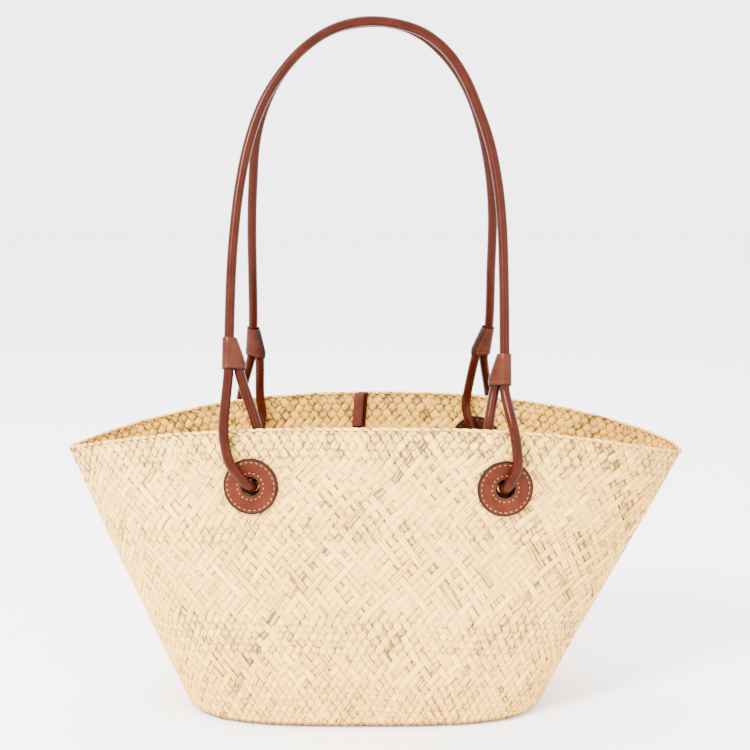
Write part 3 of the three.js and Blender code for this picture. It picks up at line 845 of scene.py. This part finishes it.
def strandMesh(name, direction, first, count, chance):
    strands = weave["strands"]
    numbers = np.arange(first, first + count)
    rows = stationRows()
    every = np.arange(rowCount + 1)
    states = crossingStates(numbers, direction)
    low = np.minimum(np.floor(rows).astype(int), rowCount - 1)
    part = rows - low
    ease = (1 - np.cos(np.pi * part)) / 2
    state = states[:, low] * (1 - ease) + states[:, low + 1] * ease
    floating = (states[:, low] == states[:, low + 1]) * np.sin(np.pi * part)
    diving = (states[:, low] != states[:, low + 1]) * np.sin(np.pi * part)
    lift = weave["rise"] * state * (1 + weave["floatLift"] * floating)
    steady = (states[:, :-1] == states[:, 1:]).astype(float)
    before = np.concatenate([steady[:, :1], steady], axis=1)
    after = np.concatenate([steady, steady[:, -1:]], axis=1)
    resting = betweenKnots(rows, (before + after) / 2)

    drift = betweenKnots(rows, chance.normal(0, weave["wander"][0], (count, weave["wander"][1])))
    u = (numbers[:, None] + direction * rows[None, :] / 2 + drift) / strands
    share = rows[None, :] / rowCount
    ends, (rippleU, rippleLevel) = weave["waves"]["calmEnds"], weave["ripple"]
    calm = np.minimum(1, np.minimum(share, 1 - share) * ends)
    wave = ripple(u, share + weave["waves"]["shift"])
    u = u + rippleU * ripple(u, share) * np.minimum(1, share * ends) / strands
    level = np.interp(rows, every, rowLengths) + rippleLevel * wave * calm
    point, normal = onSurface(u, level)

    def pointAt(near):
        length = np.interp(near, every, rowLengths)
        return onSurface(u + direction * (near - rows) / 2 / strands, np.broadcast_to(length, u.shape))[0]

    small = 0.05
    tangent = pointAt(np.minimum(rows + small, rowCount)) - pointAt(np.maximum(rows - small, 0))
    tangent /= np.linalg.norm(tangent, axis=2, keepdims=True)
    side = np.cross(normal, tangent)
    point, crush, shaded = partAtHoles(point, tangent)
    gap = onSurface(u + 0.5 / strands, level)[0] - onSurface(u - 0.5 / strands, level)[0]
    spacing = np.abs(np.einsum("ijk,ijk->ij", gap, side)) * (1 - strandHole["crush"] * crush)
    # a waist where a strand dives, and uneven like any leaf
    uneven = betweenKnots(rows, chance.normal(0, weave["uneven"][0], (count, weave["uneven"][1])))
    varied, least, most = weave["spread"]
    spread = np.clip(chance.normal(1.0, varied, (count, 1)), least, most) + uneven
    width = weave["width"] - weave["floatWaist"] * floating - weave["diveWaist"] * diving
    halfWidth = spacing * spread * width / 2
    halfThick = weave["strandThickness"] / 2
    section = weave["section"]
    vertices = np.zeros((count, len(rows), len(section), 3))
    for k, (across, out) in enumerate(section):
        curl = weave["edgeCurl"] * state * (1 - weave["flatCurl"] * resting) * (abs(across) == 1)
        reach = lift + out * halfThick - curl
        vertices[:, :, k] = point + side * (across * halfWidth)[..., None] + normal * reach[..., None]
    faces = tubeFaces(count, len(rows), len(section)).tolist()
    faces += capFaces(count, len(rows), len(section))
    tint = strandTint(state, low, shaded, chance)
    steps = np.linalg.norm(np.diff(point, axis=1), axis=2)
    travelled = np.concatenate([np.zeros((count, 1)), np.cumsum(steps, axis=1)], axis=1)
    uv = np.zeros((count, len(rows), len(section), 2))
    uv[..., 0] = np.array([0, 0.25, 0.75, 1, 0.75, 0.25]) + (numbers * weave["uvSteps"][0])[:, None, None]
    uv[..., 1] = travelled[..., None] / uvLength + (numbers * weave["uvSteps"][1])[:, None, None]
    return strawPiece(name, vertices, faces, tint, uv)


chance = np.random.default_rng(weave["seed"])
half = weave["strands"] // 2
wallPieces = [
    strandMesh("straw_rising_right_back", 1, 0, half, chance),
    strandMesh("straw_rising_right_front", 1, half, half, chance),
    strandMesh("straw_rising_left_back", -1, 0, half, chance),
    strandMesh("straw_rising_left_front", -1, half, half, chance),
]
for piece in wallPieces:
    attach(piece, "root")
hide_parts("basket")
print("wall plaited:", sum(len(p.data.polygons) for p in wallPieces), "faces")

# Folded edge along the rim
rimEdge = {
    "height": 1.7,
    "stations": 144 * 5,
    "groove": 0.4,
    "grooveShade": 0.55,
    "grooveSharp": 8,
    "foldLean": 0.9,  # how far a fold leans from the outer foot to the inner foot, in strand pitches
    "tone": (0.48, 0.16),  # middle and spread of the folds' tones
    "hue": 0.3,
    # painted shade: how much of the inside's shade the fold's inner side takes
    "inside": 0.4,
    "around": 820,
    "profileUv": 5,  # points of the profile per unit of the UV map
    "seed": 5,
    # out from the wall's middle and up from the edge's foot, round the fold
    "profile": [
        (1.0, 0.0), (1.3, 0.2), (1.45, 0.6), (1.4, 1.1), (1.0, 1.55), (0.5, 1.7),
        (-0.5, 1.7), (-1.0, 1.55), (-1.4, 1.1), (-1.45, 0.6), (-1.3, 0.2), (-1.0, 0.0),
    ],
}


def makeRimEdge():
    r = rimEdge
    stations, profile = r["stations"], r["profile"]
    top = surface["length"][-1]
    u = np.arange(stations) / stations
    low, lowNormal = onSurface(u, np.full(stations, top - r["height"]))
    high, _ = onSurface(u, np.full(stations, top - 0.2))
    up = high - low
    up /= np.linalg.norm(up, axis=1, keepdims=True)
    vertices = np.zeros((stations, len(profile), 3))
    folds = np.zeros((stations, len(profile)))
    for k, (out, rise) in enumerate(profile):
        phase = u * weave["strands"] + r["foldLean"] * k / (len(profile) - 1)
        folds[:, k] = np.abs(np.cos(np.pi * phase)) ** r["grooveSharp"]
        groove = -r["groove"] * folds[:, k]
        reach = out * (1 + groove / r["height"])
        vertices[:, k] = low + lowNormal * reach[:, None] + up * (rise + groove * (rise > 1))[:, None]
    faces = tubeFaces(1, stations, len(profile), closed=True)[:, ::-1]
    tint = np.zeros((stations, len(profile), 3))
    number = np.floor(u * weave["strands"]).astype(int)
    shades = np.random.default_rng(r["seed"]).normal(*r["tone"], weave["strands"] + 1)
    tint[..., 0] = np.clip(shades[number], 0, 1)[:, None] - r["grooveShade"] * folds
    tint[..., 1] = r["hue"]
    # painted shade on the fold's inner side
    tint[:, 7:, 2] = r["inside"]
    uv = np.zeros((stations, len(profile), 2))
    uv[..., 0] = np.arange(len(profile))[None, :] / r["profileUv"]
    uv[..., 1] = (u * r["around"] / uvLength)[:, None]
    return strawPiece("straw_rim_edge", vertices, faces, tint, uv)


rimPiece = makeRimEdge()
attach(rimPiece, "root")
print("rim edge folded")

# Plaited base mat
matLook = {
    "pitch": 4.5,
    "halfWidth": 0.48,
    "thickness": 0.8,
    "rise": 0.45,
    "level": 2.9,  # height of the mat's middle at its border, over the wall's strand ends
    "sag": 1.9,  # how much lower its middle lies
    "border": 3.2,
    "stations": 3,
    "shortest": 5,  # stations of the shortest strand
    "outlineSteps": 61,
    "uvSteps": (1.7, 2.3),
    "section": [(-1, 0), (-0.5, -1), (0.5, -1), (1, 0), (0.5, 1), (-0.5, 1)],
    "tone": (0.42, 0.14),
    "hue": 0.4,
    # painted shade of the inside, as on the wall's inner faces
    "inside": (0.2, 0.6),  # the under and the upper side
    "seed": 7,
}


def makeBaseMat():
    m = matLook
    plan = planAt(0, m["border"])
    outlineX, outlineY = quarterPlan(plan, plan["rightEnd"], np.linspace(0, 1, m["outlineSteps"]))
    pitch = m["pitch"]
    diagonal = math.sqrt(0.5)
    stepU, stepV = m["uvSteps"]
    count = int((plan["halfLength"] + plan["halfDepth"]) / pitch / diagonal) + 2
    steps = np.arange(-count * m["stations"], count * m["stations"] + 1) * pitch / m["stations"]
    shades = np.random.default_rng(m["seed"])
    vertices, faces, tints, uvs = [], [], [], []
    for direction in (1, -1):
        for number in range(-count, count + 1):
            offset = (number + 0.5) * pitch
            if direction > 0:
                x, y = (steps - offset) * diagonal, (steps + offset) * diagonal
            else:
                x, y = (steps + offset) * diagonal, (offset - steps) * diagonal
            limit = np.interp(-np.abs(x), -outlineX, outlineY)
            keep = (np.abs(x) < plan["halfLength"]) & (np.abs(y) < limit)
            if keep.sum() < m["shortest"]:
                continue
            along, x, y = steps[keep], x[keep], y[keep]
            state = np.cos(np.pi * (along / pitch - 0.5)) * (1 if number % 2 else -1) * direction
            edge = np.minimum(1, np.maximum(np.abs(x) / plan["halfLength"], np.abs(y) / plan["halfDepth"]))
            z = m["level"] - m["sag"] * (1 - edge**6) + m["rise"] * state
            start = len(vertices)
            tone = float(np.clip(shades.normal(*m["tone"]), 0, 1))
            for s in range(len(along)):
                for across, out in m["section"]:
                    aside = diagonal * across * pitch * m["halfWidth"]
                    up = z[s] + out * m["thickness"] / 2
                    vertices.append((plan["centre"] + x[s] - direction * aside, y[s] + aside, up))
                    tints.append((tone, m["hue"], m["inside"][out >= 0]))
                    uvs.append((0.5 + across / 2 + number * stepU, along[s] / uvLength + number * stepV))
            made = tubeFaces(1, len(along), 6).tolist() + capFaces(1, len(along), 6)
            faces += [[start + k for k in face[::direction]] for face in made]
    return strawPiece("straw_base_mat", np.array(vertices), faces, np.array(tints), np.array(uvs))


basePiece = makeBaseMat()
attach(basePiece, "root")
print("base mat plaited")

cordSizes = {
    "sides": 24,
    "steps": 7,
    "cutEnds": [(0.5, 0.8), (0.7, 0.3)],  # how far a rounded end's rings stand out, and their size
}
topHeight = body["rimHeight"] + leather["handleRise"]


def legPlace(corner, place, facing):
    # facing 1: on the bag's outside, -1: inside
    x, drop = corner["eyelet"]
    up = place[1] * drop
    if math.hypot(place[0], up) < leather["disc"] / 2 + cordRadius:
        seat = corner["seats"]["outer" if facing > 0 else "inner"]
        return placeIn(corner["frame"], place[0], up, seat + facing * discReach)
    left = drop - up
    spot = wallFrame(x + place[0], max(left, 0), corner["side"])
    onStraw = body["wall"] / 2 + leather["lipExtra"] + leather["clearance"] + cordRadius
    return placeIn(spot, 0, max(-left, 0), facing * (onStraw + leather["legSlack"]))


def leanAt(handle, z):
    # how far a handle stands from the bag's middle at a height
    ends = [corners[name] for name in handle["ends"]]
    feet = [abs(wallPoint(corner["eyelet"][0], 1, corner["side"])[1]) for corner in ends]
    halfGap = cordRadius + leather["cordGap"] / 2
    return mix(halfGap, sum(feet) / 2, (topHeight - z) / leather["handleRise"])


for handle in handles.values():
    for name in handle["ends"]:
        corner = corners[name]
        x, rise, tilt = corner["sleeve"]
        low = body["rimHeight"] + rise
        slope = leanAt(handle, low + 1) - leanAt(handle, low)
        up = unit(np.array([tilt / leather["sleeveLength"], corner["side"] * slope, 1]))
        origin = np.array([x, corner["side"] * leanAt(handle, low), low])
        along = legPlace(corner, corner["innerLeg"][-1], -1) - legPlace(corner, corner["outerLeg"][-1], 1)
        along[2] = 0
        along = unit(along - up * along.dot(up))
        out = np.cross(along, up)
        corner["sleeveFrame"] = {"origin": origin, "along": along, "up": up, "out": out}
        corner["inside"] = -np.sign(corner["side"] * out[1])


def legRoute(corner):
    # from the cord's end in the sleeve down inside, through the eyelets and up again outside
    place = corner["sleeveFrame"]
    legGap = leather["cord"] + leather["clearance"]
    route = [
        placeIn(place, legGap, leather["tuck"], 0),
        placeIn(place, legGap, 0, 0),
        placeIn(place, legGap + leather["legSplay"], -leather["tuck"], 0),
    ]
    route += [legPlace(corner, spot, -1) for spot in reversed(corner["innerLeg"])]
    outermost = corner["seats"]["outer"] + discReach
    innermost = corner["seats"]["inner"] - discReach
    bend = (outermost - innermost) / 2
    middle = (outermost + innermost) / 2
    for degrees in range(-90, 91, 30):
        leg = corner["innerLeg" if degrees < 0 else "outerLeg"][0]
        way = unit(np.array([leg[0], leg[1] * corner["eyelet"][1]]))
        turn = math.radians(degrees)
        shift = bend * (1 - math.cos(turn)) - leather["cordSag"]
        out = middle + bend * math.sin(turn)
        route.append(placeIn(corner["frame"], way[0] * shift, way[1] * shift, out))
    route += [legPlace(corner, spot, 1) for spot in corner["outerLeg"]]
    route += [placeIn(place, 0, up, 0) for up in (-leather["tuck"], 0, leather["sleeveLength"])]
    return route


def smoothRoute(points, steps):
    # centripetal curve through the points, with equal steps from point to point
    points = np.array(points)
    padded = np.concatenate([[2 * points[0] - points[1]], points, [2 * points[-1] - points[-2]]])
    made = []
    for k in range(len(points) - 1):
        p = padded[k : k + 4]
        d = np.diff(p, axis=0)
        g = np.sqrt(np.linalg.norm(d, axis=1))
        leave = (d[0] / g[0] - (p[2] - p[0]) / (g[0] + g[1]) + d[1] / g[1]) * g[1]
        arrive = (d[1] / g[1] - (p[3] - p[1]) / (g[1] + g[2]) + d[2] / g[2]) * g[1]
        for s in np.arange(steps) / steps:
            made.append(
                (2 * s**3 - 3 * s**2 + 1) * p[1]
                + (s**3 - 2 * s**2 + s) * leave
                + (3 * s**2 - 2 * s**3) * p[2]
                + (s**3 - s**2) * arrive
            )
    made.append(points[-1])
    return np.array(made)


def makeCord(name, handle):
    left, right = (corners[end] for end in handle["ends"])
    leftX, rightX = (corner["sleeve"][0] + corner["sleeve"][2] for corner in (left, right))
    arch = []
    for across, rise in handle["arch"]:
        z = mix(body["rimHeight"] + leather["archFoot"], topHeight, rise)
        arch.append(np.array([mix(leftX, rightX, across), left["side"] * leanAt(handle, z), z]))
    path = smoothRoute(legRoute(left) + arch + legRoute(right)[::-1], cordSizes["steps"])
    tangent = np.gradient(path, axis=0)
    tangent /= np.linalg.norm(tangent, axis=1, keepdims=True)
    sides = cordSizes["sides"]
    turns = np.arange(sides) * 2 * math.pi / sides
    across = np.cross(tangent[0], [0, 1, 0])
    rings = []
    for point, t in zip(path, tangent):
        across = unit(across - t * across.dot(t))
        circle = np.cos(turns)[:, None] * across + np.sin(turns)[:, None] * np.cross(t, across)
        rings.append(point + cordRadius * circle)
    ends = []
    for k, sign in ((0, -1), (-1, 1)):
        for reach, share in cordSizes["cutEnds"]:
            ends.append(path[k] + tangent[k] * sign * reach + (rings[k] - path[k]) * share)
    rings = ends[1::-1] + rings + ends[2:]
    count = len(rings)
    faces = tubeFaces(1, count, sides).tolist() + capFaces(1, count, sides)
    vertices = np.array(rings).reshape(-1, 3) * mm
    piece = meshFrom("leather_" + name, vertices, faces, leathers["cord_leather"])
    length = np.concatenate([[0], np.cumsum(np.linalg.norm(np.diff(path, axis=0), axis=1))])
    out = np.array([reach for reach, _ in cordSizes["cutEnds"]])
    length = np.concatenate([-out[::-1], length, length[-1] + out])
    uv = np.zeros((count, sides, 2))
    uv[..., 0] = np.abs(np.arange(sides) / sides * 2 - 1)[None, :]
    uv[..., 1] = length[:, None] / uvLength
    fillUv(piece.data, "strand", uv.reshape(-1, 2))
    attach(piece, "root")
    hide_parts(name)


for name, handle in handles.items():
    makeCord(name, handle)
print("cords laid")


def selectFaces(test):
    # in edit mode: leaves the faces selected whose middle and normal pass the test
    bpy.ops.mesh.select_mode(type="FACE")
    bpy.ops.mesh.select_all(action="DESELECT")
    mesh = bmesh.from_edit_mesh(bpy.context.object.data)
    for face in mesh.faces:
        face.select = bool(test(face.calc_center_median(), face.normal))
    bmesh.update_edit_mesh(bpy.context.object.data)


def soften(piece, width, segments, degrees):
    bevel = piece.modifiers.new("soft edge", "BEVEL")
    bevel.width = width * mm
    bevel.segments = segments
    bevel.limit_method = "ANGLE"
    bevel.angle_limit = math.radians(degrees)
    makeActive(piece)
    bpy.ops.object.modifier_apply(modifier=bevel.name)


def thicken(piece, thickness, offset, even):
    wall = piece.modifiers.new("leather", "SOLIDIFY")
    wall.thickness = thickness * mm
    wall.offset = offset
    wall.use_even_offset = even
    makeActive(piece)
    bpy.ops.object.modifier_apply(modifier=wall.name)


def paintDark(piece, plain, dark, isDark):
    # the dark look goes on the faces whose middle, in millimetres, passes the test
    piece.data.materials.append(leathers[plain])
    piece.data.materials.append(leathers[dark])
    for face in piece.data.polygons:
        face.material_index = 1 if isDark(face.center / mm) else 0
    piece.data.shade_smooth()


def bakeMatrix(piece, matrix):
    piece.data.transform(matrix)
    if matrix.determinant() < 0:
        piece.data.flip_normals()
    piece.data.update()


def frameMatrix(place, along, up, out):
    # from local x, y, z in metres to three of the place's directions
    columns = [Vector(place[name]) for name in (along, up, out)] + [Vector(place["origin"]) * mm]
    matrix = Matrix.Identity(4)
    for c, column in enumerate(columns):
        for r in range(3):
            matrix[r][c] = column[r]
    return matrix


# Leather washers
discSizes = {
    "radius": 15.95,
    "hole": 5.3,
    "innerHole": 3.7,
    "thickness": 1.6,
    "sides": 72,
    "grooves": (13.75, 7.65),  # radii of the two grooves that the stitches lie in
    "grooveWidth": 0.9,
    "grooveDepth": 0.12,
    "bevel": (0.35, 3, 50),  # width, segments, least angle
    "edgeFrom": 14.9,  # painted dark from here out
    # the hole's wall and a thin ring round it are dark: edge paint, and also painted shade inside the hole
    "holeDark": 0.25,
}


def makeDisc(hole, material):
    deselectAll()
    d = discSizes
    bpy.ops.mesh.primitive_cylinder_add(
        vertices=d["sides"],
        radius=d["radius"] * mm,
        depth=d["thickness"] * mm,
        location=(0, 0, d["thickness"] / 2 * mm),
    )
    disc = bpy.context.object
    bpy.ops.object.transform_apply(location=True, rotation=False, scale=False)
    bpy.ops.object.mode_set(mode="EDIT")
    selectFaces(lambda c, n: abs(n.z) > 0.9)
    radius = d["radius"]
    goals = [d["edgeFrom"]]
    for groove in d["grooves"]:
        goals += [groove + d["grooveWidth"] / 2, groove, groove - d["grooveWidth"] / 2]
    goals.append(hole)
    for goal in goals:
        bpy.ops.mesh.inset(thickness=(radius - goal) * mm, use_boundary=True)
        radius = goal
    bpy.ops.mesh.delete(type="FACE")
    bpy.ops.mesh.select_mode(type="EDGE")
    bpy.ops.mesh.select_all(action="DESELECT")
    mesh = bmesh.from_edit_mesh(disc.data)
    for edge in mesh.edges:
        edge.select = edge.is_boundary
    bmesh.update_edit_mesh(disc.data)
    bpy.ops.mesh.bridge_edge_loops()
    for vertex in mesh.verts:
        reach = vertex.co.xy.length / mm
        for groove in d["grooves"]:
            if abs(reach - groove) < 0.05 and vertex.co.z > d["thickness"] / 2 * mm:
                vertex.co.z -= d["grooveDepth"] * mm
    bmesh.update_edit_mesh(disc.data)
    bpy.ops.object.mode_set(mode="OBJECT")
    soften(disc, *d["bevel"])

    # dark edge paint out from edgeFrom; at the hole it is also painted shade
    def isDark(middle):
        return not hole + d["holeDark"] <= middle.xy.length <= d["edgeFrom"]

    paintDark(disc, material, "painted_edge", isDark)
    return disc


stitchSizes = {
    "rings": [(28, 1.7), (18, 1.35)],  # stitches and stitch length in each groove
    "thick": 0.62,
    "height": 1.52,
    "blunt": 0.7,  # below 1 the ends are fuller than a ball's
    "flat": 0.8,
}


def makeStitch():
    deselectAll()
    bpy.ops.mesh.primitive_uv_sphere_add(segments=8, ring_count=5, radius=0.5)
    stitch = bpy.context.object
    stitch.name = "stitch_shape"
    bpy.ops.object.mode_set(mode="EDIT")
    bpy.ops.mesh.select_all(action="SELECT")
    bpy.ops.transform.rotate(value=math.radians(90), orient_axis="Y", center_override=(0, 0, 0))
    bpy.ops.object.mode_set(mode="OBJECT")
    points = np.array([v.co[:] for v in stitch.data.vertices])
    faces = [list(p.vertices) for p in stitch.data.polygons]
    bpy.data.objects.remove(stitch)
    return points, faces


stitchPoints, stitchFaces = makeStitch()


def joinStitches(name, places, material):
    # places: middle, the directions along, across and out, length and thickness
    vertices, faces = [], []
    for middle, along, across, out, length, thick in places:
        start = len(vertices)
        x, y, z = stitchPoints.T
        x = np.sign(x) * np.abs(x * 2) ** stitchSizes["blunt"] / 2
        made = middle + np.outer(x * length, along) + np.outer(y * thick, across)
        vertices += (made + np.outer(z * thick * stitchSizes["flat"], out)).tolist()
        faces += [[start + k for k in face] for face in stitchFaces]
    return meshFrom(name, np.array(vertices) * mm, faces, leathers[material])


discs = {
    "outer": makeDisc(discSizes["hole"], "disc_leather"),
    # painted shade: the inner washers take the darker copy of the leather
    "inner": makeDisc(discSizes["innerHole"], "inner_washer_shaded_leather"),
}
for name, corner in corners.items():
    for layer, facing in (("outer", 1), ("inner", -1)):
        node = layer + "_eyelet_" + name
        place = dict(corner["frame"])
        place["origin"] = placeIn(place, 0, 0, corner["seats"][layer])
        place["out"] = place["out"] * facing
        place["side"] = np.cross(place["up"], place["out"])
        piece = discs[layer].copy()
        piece.data = discs[layer].data.copy()
        piece.name = "disc_" + layer + "_" + name
        piece.data.name = piece.name
        bpy.context.scene.collection.objects.link(piece)
        bakeMatrix(piece, frameMatrix(place, "side", "up", "out"))
        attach(piece, "root")
        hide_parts(node)
        places = []
        for radius, (count, length) in zip(discSizes["grooves"], stitchSizes["rings"]):
            for k in range(count):
                a = 2 * math.pi * (k + 0.5 * (facing > 0)) / count
                radial = place["side"] * math.cos(a) + place["up"] * math.sin(a)
                tangent = np.cross(place["out"], radial)
                middle = place["origin"] + radial * radius + place["out"] * stitchSizes["height"]
                places.append((middle, tangent, radial, place["out"], length, stitchSizes["thick"]))
        look = "waxed_thread" if facing > 0 else "dull_thread"
        thread = joinStitches("stitches_" + layer + "_" + name, places, look)
        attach(thread, "root")
for disc in discs.values():
    bpy.data.objects.remove(disc)
print("washers sewn on")

# Tan leather sleeves, one round a cord's end and its other leg
sleeveSizes = {
    "length": 17.8,
    "leather": 0.75,
    "hollow": 3.1,
    "spread": 6.15,
    "topSpread": 0.6,
    "straight": 4,
    "seam": 0.2,  # width of the strip that is drawn out between the halves
    "flangeReach": 1.7,
    "flangeTurn": {"front": 58, "back": 26},
    "flangeHalf": 13.5,
    "flangeDark": {"front": 0.5, "back": 1.5},
    "endsDark": (0.52, 0.2),  # at the lower and the upper end
    "sides": 40,
    "levels": (-8.35, -5.5, 0.5, 5.5),
    "skin": 0.96,  # share of the leather that the wall takes
    "bevel": (0.22, 2, 40),
    "stitchPitch": 2.0,
    "stitchRise": 1.9,
    "stitchLift": 0.02,
    "stitch": (1.2, 0.42),  # length, thickness
    "stitchFree": 0.42,  # angle to either side of the flange that has none
}


def sleeveSpreadAt(height):
    # how far apart the sleeve's two halves are
    s = sleeveSizes
    wide = leather["cord"] + leather["clearance"]
    return np.interp(height, (0, s["straight"], s["length"]), (s["spread"], wide, s["topSpread"]))


def flangeTurn(corner):
    # the bearing of the sewn flange and how deep its dark edge is
    where = "front" if corner["side"] < 0 else "back"
    return sleeveSizes["flangeTurn"][where] * corner["inside"], sleeveSizes["flangeDark"][where]


def makeSleeve(name, corner):
    s = sleeveSizes
    deselectAll()
    outer = s["hollow"] + s["leather"]
    half = s["length"] / 2
    bpy.ops.mesh.primitive_cylinder_add(
        vertices=s["sides"], radius=outer * mm, depth=s["length"] * mm, end_fill_type="NOTHING"
    )
    sleeve = bpy.context.object
    sleeve.name = sleeve.data.name = "tan_sleeve_" + name
    bpy.ops.object.mode_set(mode="EDIT")
    for level in s["levels"]:
        bpy.ops.mesh.select_all(action="SELECT")
        bpy.ops.mesh.bisect(plane_co=(0, 0, level * mm), plane_no=(0, 0, 1))
    turn, dark = flangeTurn(corner)
    way = Vector((math.cos(math.radians(turn)), math.sin(math.radians(turn)), 0))

    def onFlange(middle, normal):
        bearing = math.degrees(math.atan2(middle.y, middle.x))
        return abs((bearing - turn + 180) % 360 - 180) < s["flangeHalf"]

    selectFaces(onFlange)
    bpy.ops.mesh.extrude_region_move(
        TRANSFORM_OT_translate={"value": [v * s["flangeReach"] * mm for v in way]}
    )
    mesh = bmesh.from_edit_mesh(sleeve.data)
    for vertex in mesh.verts:
        # the right half moves out to take the second leg
        share = min(max(vertex.co.x / (s["seam"] * mm), 0), 1)
        vertex.co.x += share * sleeveSpreadAt(vertex.co.z / mm + half) * mm
    bmesh.update_edit_mesh(sleeve.data)
    bpy.ops.object.mode_set(mode="OBJECT")
    thicken(sleeve, s["leather"] * s["skin"], -1, True)
    soften(sleeve, *s["bevel"])

    def isDark(middle):
        height = middle.z + half
        reach = (middle.x - sleeveSpreadAt(height)) * way.x + middle.y * way.y
        low, high = s["endsDark"]
        return reach > outer + s["flangeReach"] - dark or height < low or height > s["length"] - high

    paintDark(sleeve, "tan_leather", "painted_edge", isDark)
    bakeMatrix(sleeve, Matrix.Translation((0, 0, half * mm)))
    bakeMatrix(sleeve, frameMatrix(corner["sleeveFrame"], "along", "out", "up"))
    return sleeve


def sleeveEdgePoint(height, travel):
    # point and outward direction round the sleeve, in its along and out axes
    radius = sleeveSizes["hollow"] + sleeveSizes["leather"]
    wide = sleeveSpreadAt(height)
    arc = math.pi * radius
    if travel < wide:
        return (travel, radius), (0, 1)
    if wide + arc <= travel < 2 * wide + arc:
        return (2 * wide + arc - travel, -radius), (0, -1)
    start, turned = (wide, travel - wide) if travel < wide + arc else (0, travel - 2 * wide)
    a = math.pi / 2 - turned / radius
    return (start + radius * math.cos(a), radius * math.sin(a)), (math.cos(a), math.sin(a))


def sleeveStitches(corner):
    s = sleeveSizes
    place = corner["sleeveFrame"]
    around = 2 * math.pi * (s["hollow"] + s["leather"]) + 2 * s["spread"]
    count = round(around / s["stitchPitch"])
    turn = math.radians(flangeTurn(corner)[0])
    places = []
    for k in range(count):
        (a, b), (na, nb) = sleeveEdgePoint(s["stitchRise"], k * around / count)
        if a > s["spread"] and abs(math.atan2(b, a - s["spread"]) - turn) < s["stitchFree"]:
            continue
        normal = place["along"] * na + place["out"] * nb
        middle = placeIn(place, a, s["stitchRise"], b) + normal * s["stitchLift"]
        places.append((middle, np.cross(place["up"], normal), place["up"], normal, *s["stitch"]))
    return places


for name, corner in corners.items():
    piece = makeSleeve(name, corner)
    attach(piece, "root")
    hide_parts("sleeve_" + name)
    thread = joinStitches("stitches_sleeve_" + name, sleeveStitches(corner), "dull_thread")
    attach(thread, "root")
print("sleeves fitted")

# Hanging loop inside the back wall
loopSizes = {
    "across": -6.2,
    "length": 23.5,
    "top": -0.2,
    "width": 5.5,
    "leather": 1.4,
    "skin": 0.94,  # share of the leather that the strap takes
    "opening": 1.8,
    "skew": 3.6,
    "bendSteps": 10,
    "bevel": (0.3, 2, 40),
    "lean": 2.0,
    # painted shade: the rear strand up to this share of the depth, and the bend's underside
    "rearTo": 0.55,  # dark up to here, as a share of the depth, and round this share of the bend
    "bendDark": 0.4,
}


def makeLoop():
    s = loopSizes
    depth = s["opening"] + 2 * s["leather"]
    bend = (s["opening"] + s["leather"]) / 2
    low = -s["length"] + depth / 2
    # the strap's middle line: x into the bag, z up the wall
    near, far = s["leather"] / 2, depth - s["leather"] / 2
    line = [(near, s["top"]), (near, low / 3), (near, low * 2 / 3)]
    for k in range(s["bendSteps"] + 1):
        a = math.pi + math.pi * k / s["bendSteps"]
        line.append((depth / 2 + bend * math.cos(a), low + bend * math.sin(a)))
    line += [(far, low * 2 / 3), (far, low / 3), (far, s["top"])]
    deselectAll()
    bpy.ops.mesh.primitive_plane_add(size=s["width"] * mm)
    loop = bpy.context.object
    loop.name = "hanging_loop"
    # one edge of the plane is drawn along the line
    bpy.ops.object.mode_set(mode="EDIT")
    bpy.ops.mesh.select_mode(type="EDGE")
    bpy.ops.mesh.select_all(action="SELECT")
    bpy.ops.mesh.delete(type="ONLY_FACE")
    bpy.ops.mesh.select_all(action="DESELECT")
    mesh = bmesh.from_edit_mesh(loop.data)
    for vertex in [v for v in mesh.verts if v.co.x > 0]:
        vertex.select = True
    bpy.ops.mesh.delete(type="VERT")
    mesh = bmesh.from_edit_mesh(loop.data)
    for vertex in mesh.verts:
        vertex.co.x, vertex.co.z = line[0][0] * mm, line[0][1] * mm
    bpy.ops.mesh.select_all(action="SELECT")
    bmesh.update_edit_mesh(loop.data)
    for (x, z), (nextX, nextZ) in zip(line[:-1], line[1:]):
        bpy.ops.mesh.extrude_region_move(
            TRANSFORM_OT_translate={"value": ((nextX - x) * mm, 0, (nextZ - z) * mm)}
        )
    bpy.ops.mesh.select_all(action="SELECT")
    bpy.ops.mesh.normals_make_consistent(inside=False)
    bpy.ops.object.mode_set(mode="OBJECT")
    thicken(loop, s["leather"] * s["skin"], 0, False)
    soften(loop, *s["bevel"])
    for vertex in loop.data.vertices:
        # the strap hangs a little askew
        vertex.co.y += s["lean"] * vertex.co.z / s["length"]

    # painted shade on the rear strand and round the bend's underside
    def isDark(middle):
        return middle.x < depth * s["rearTo"] or middle.z < low - bend * s["bendDark"]

    paintDark(loop, "loop_leather", "loop_shaded_rear", isDark)
    place = wallFrame(s["across"], 0, 1)
    seat = body["wall"] / 2 + leather["lipExtra"] + leather["clearance"]
    place["into"] = -place["out"] - place["along"] * s["skew"] / depth
    place["origin"] = placeIn(place, 0, 0, -seat)
    bakeMatrix(loop, frameMatrix(place, "into", "along", "up"))
    bpy.ops.object.mode_set(mode="EDIT")
    bpy.ops.mesh.select_all(action="SELECT")
    bpy.ops.mesh.normals_make_consistent(inside=False)
    bpy.ops.object.mode_set(mode="OBJECT")
    return loop


loopPiece = makeLoop()
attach(loopPiece, "root")
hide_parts("inner_loop")
print("loop hung")
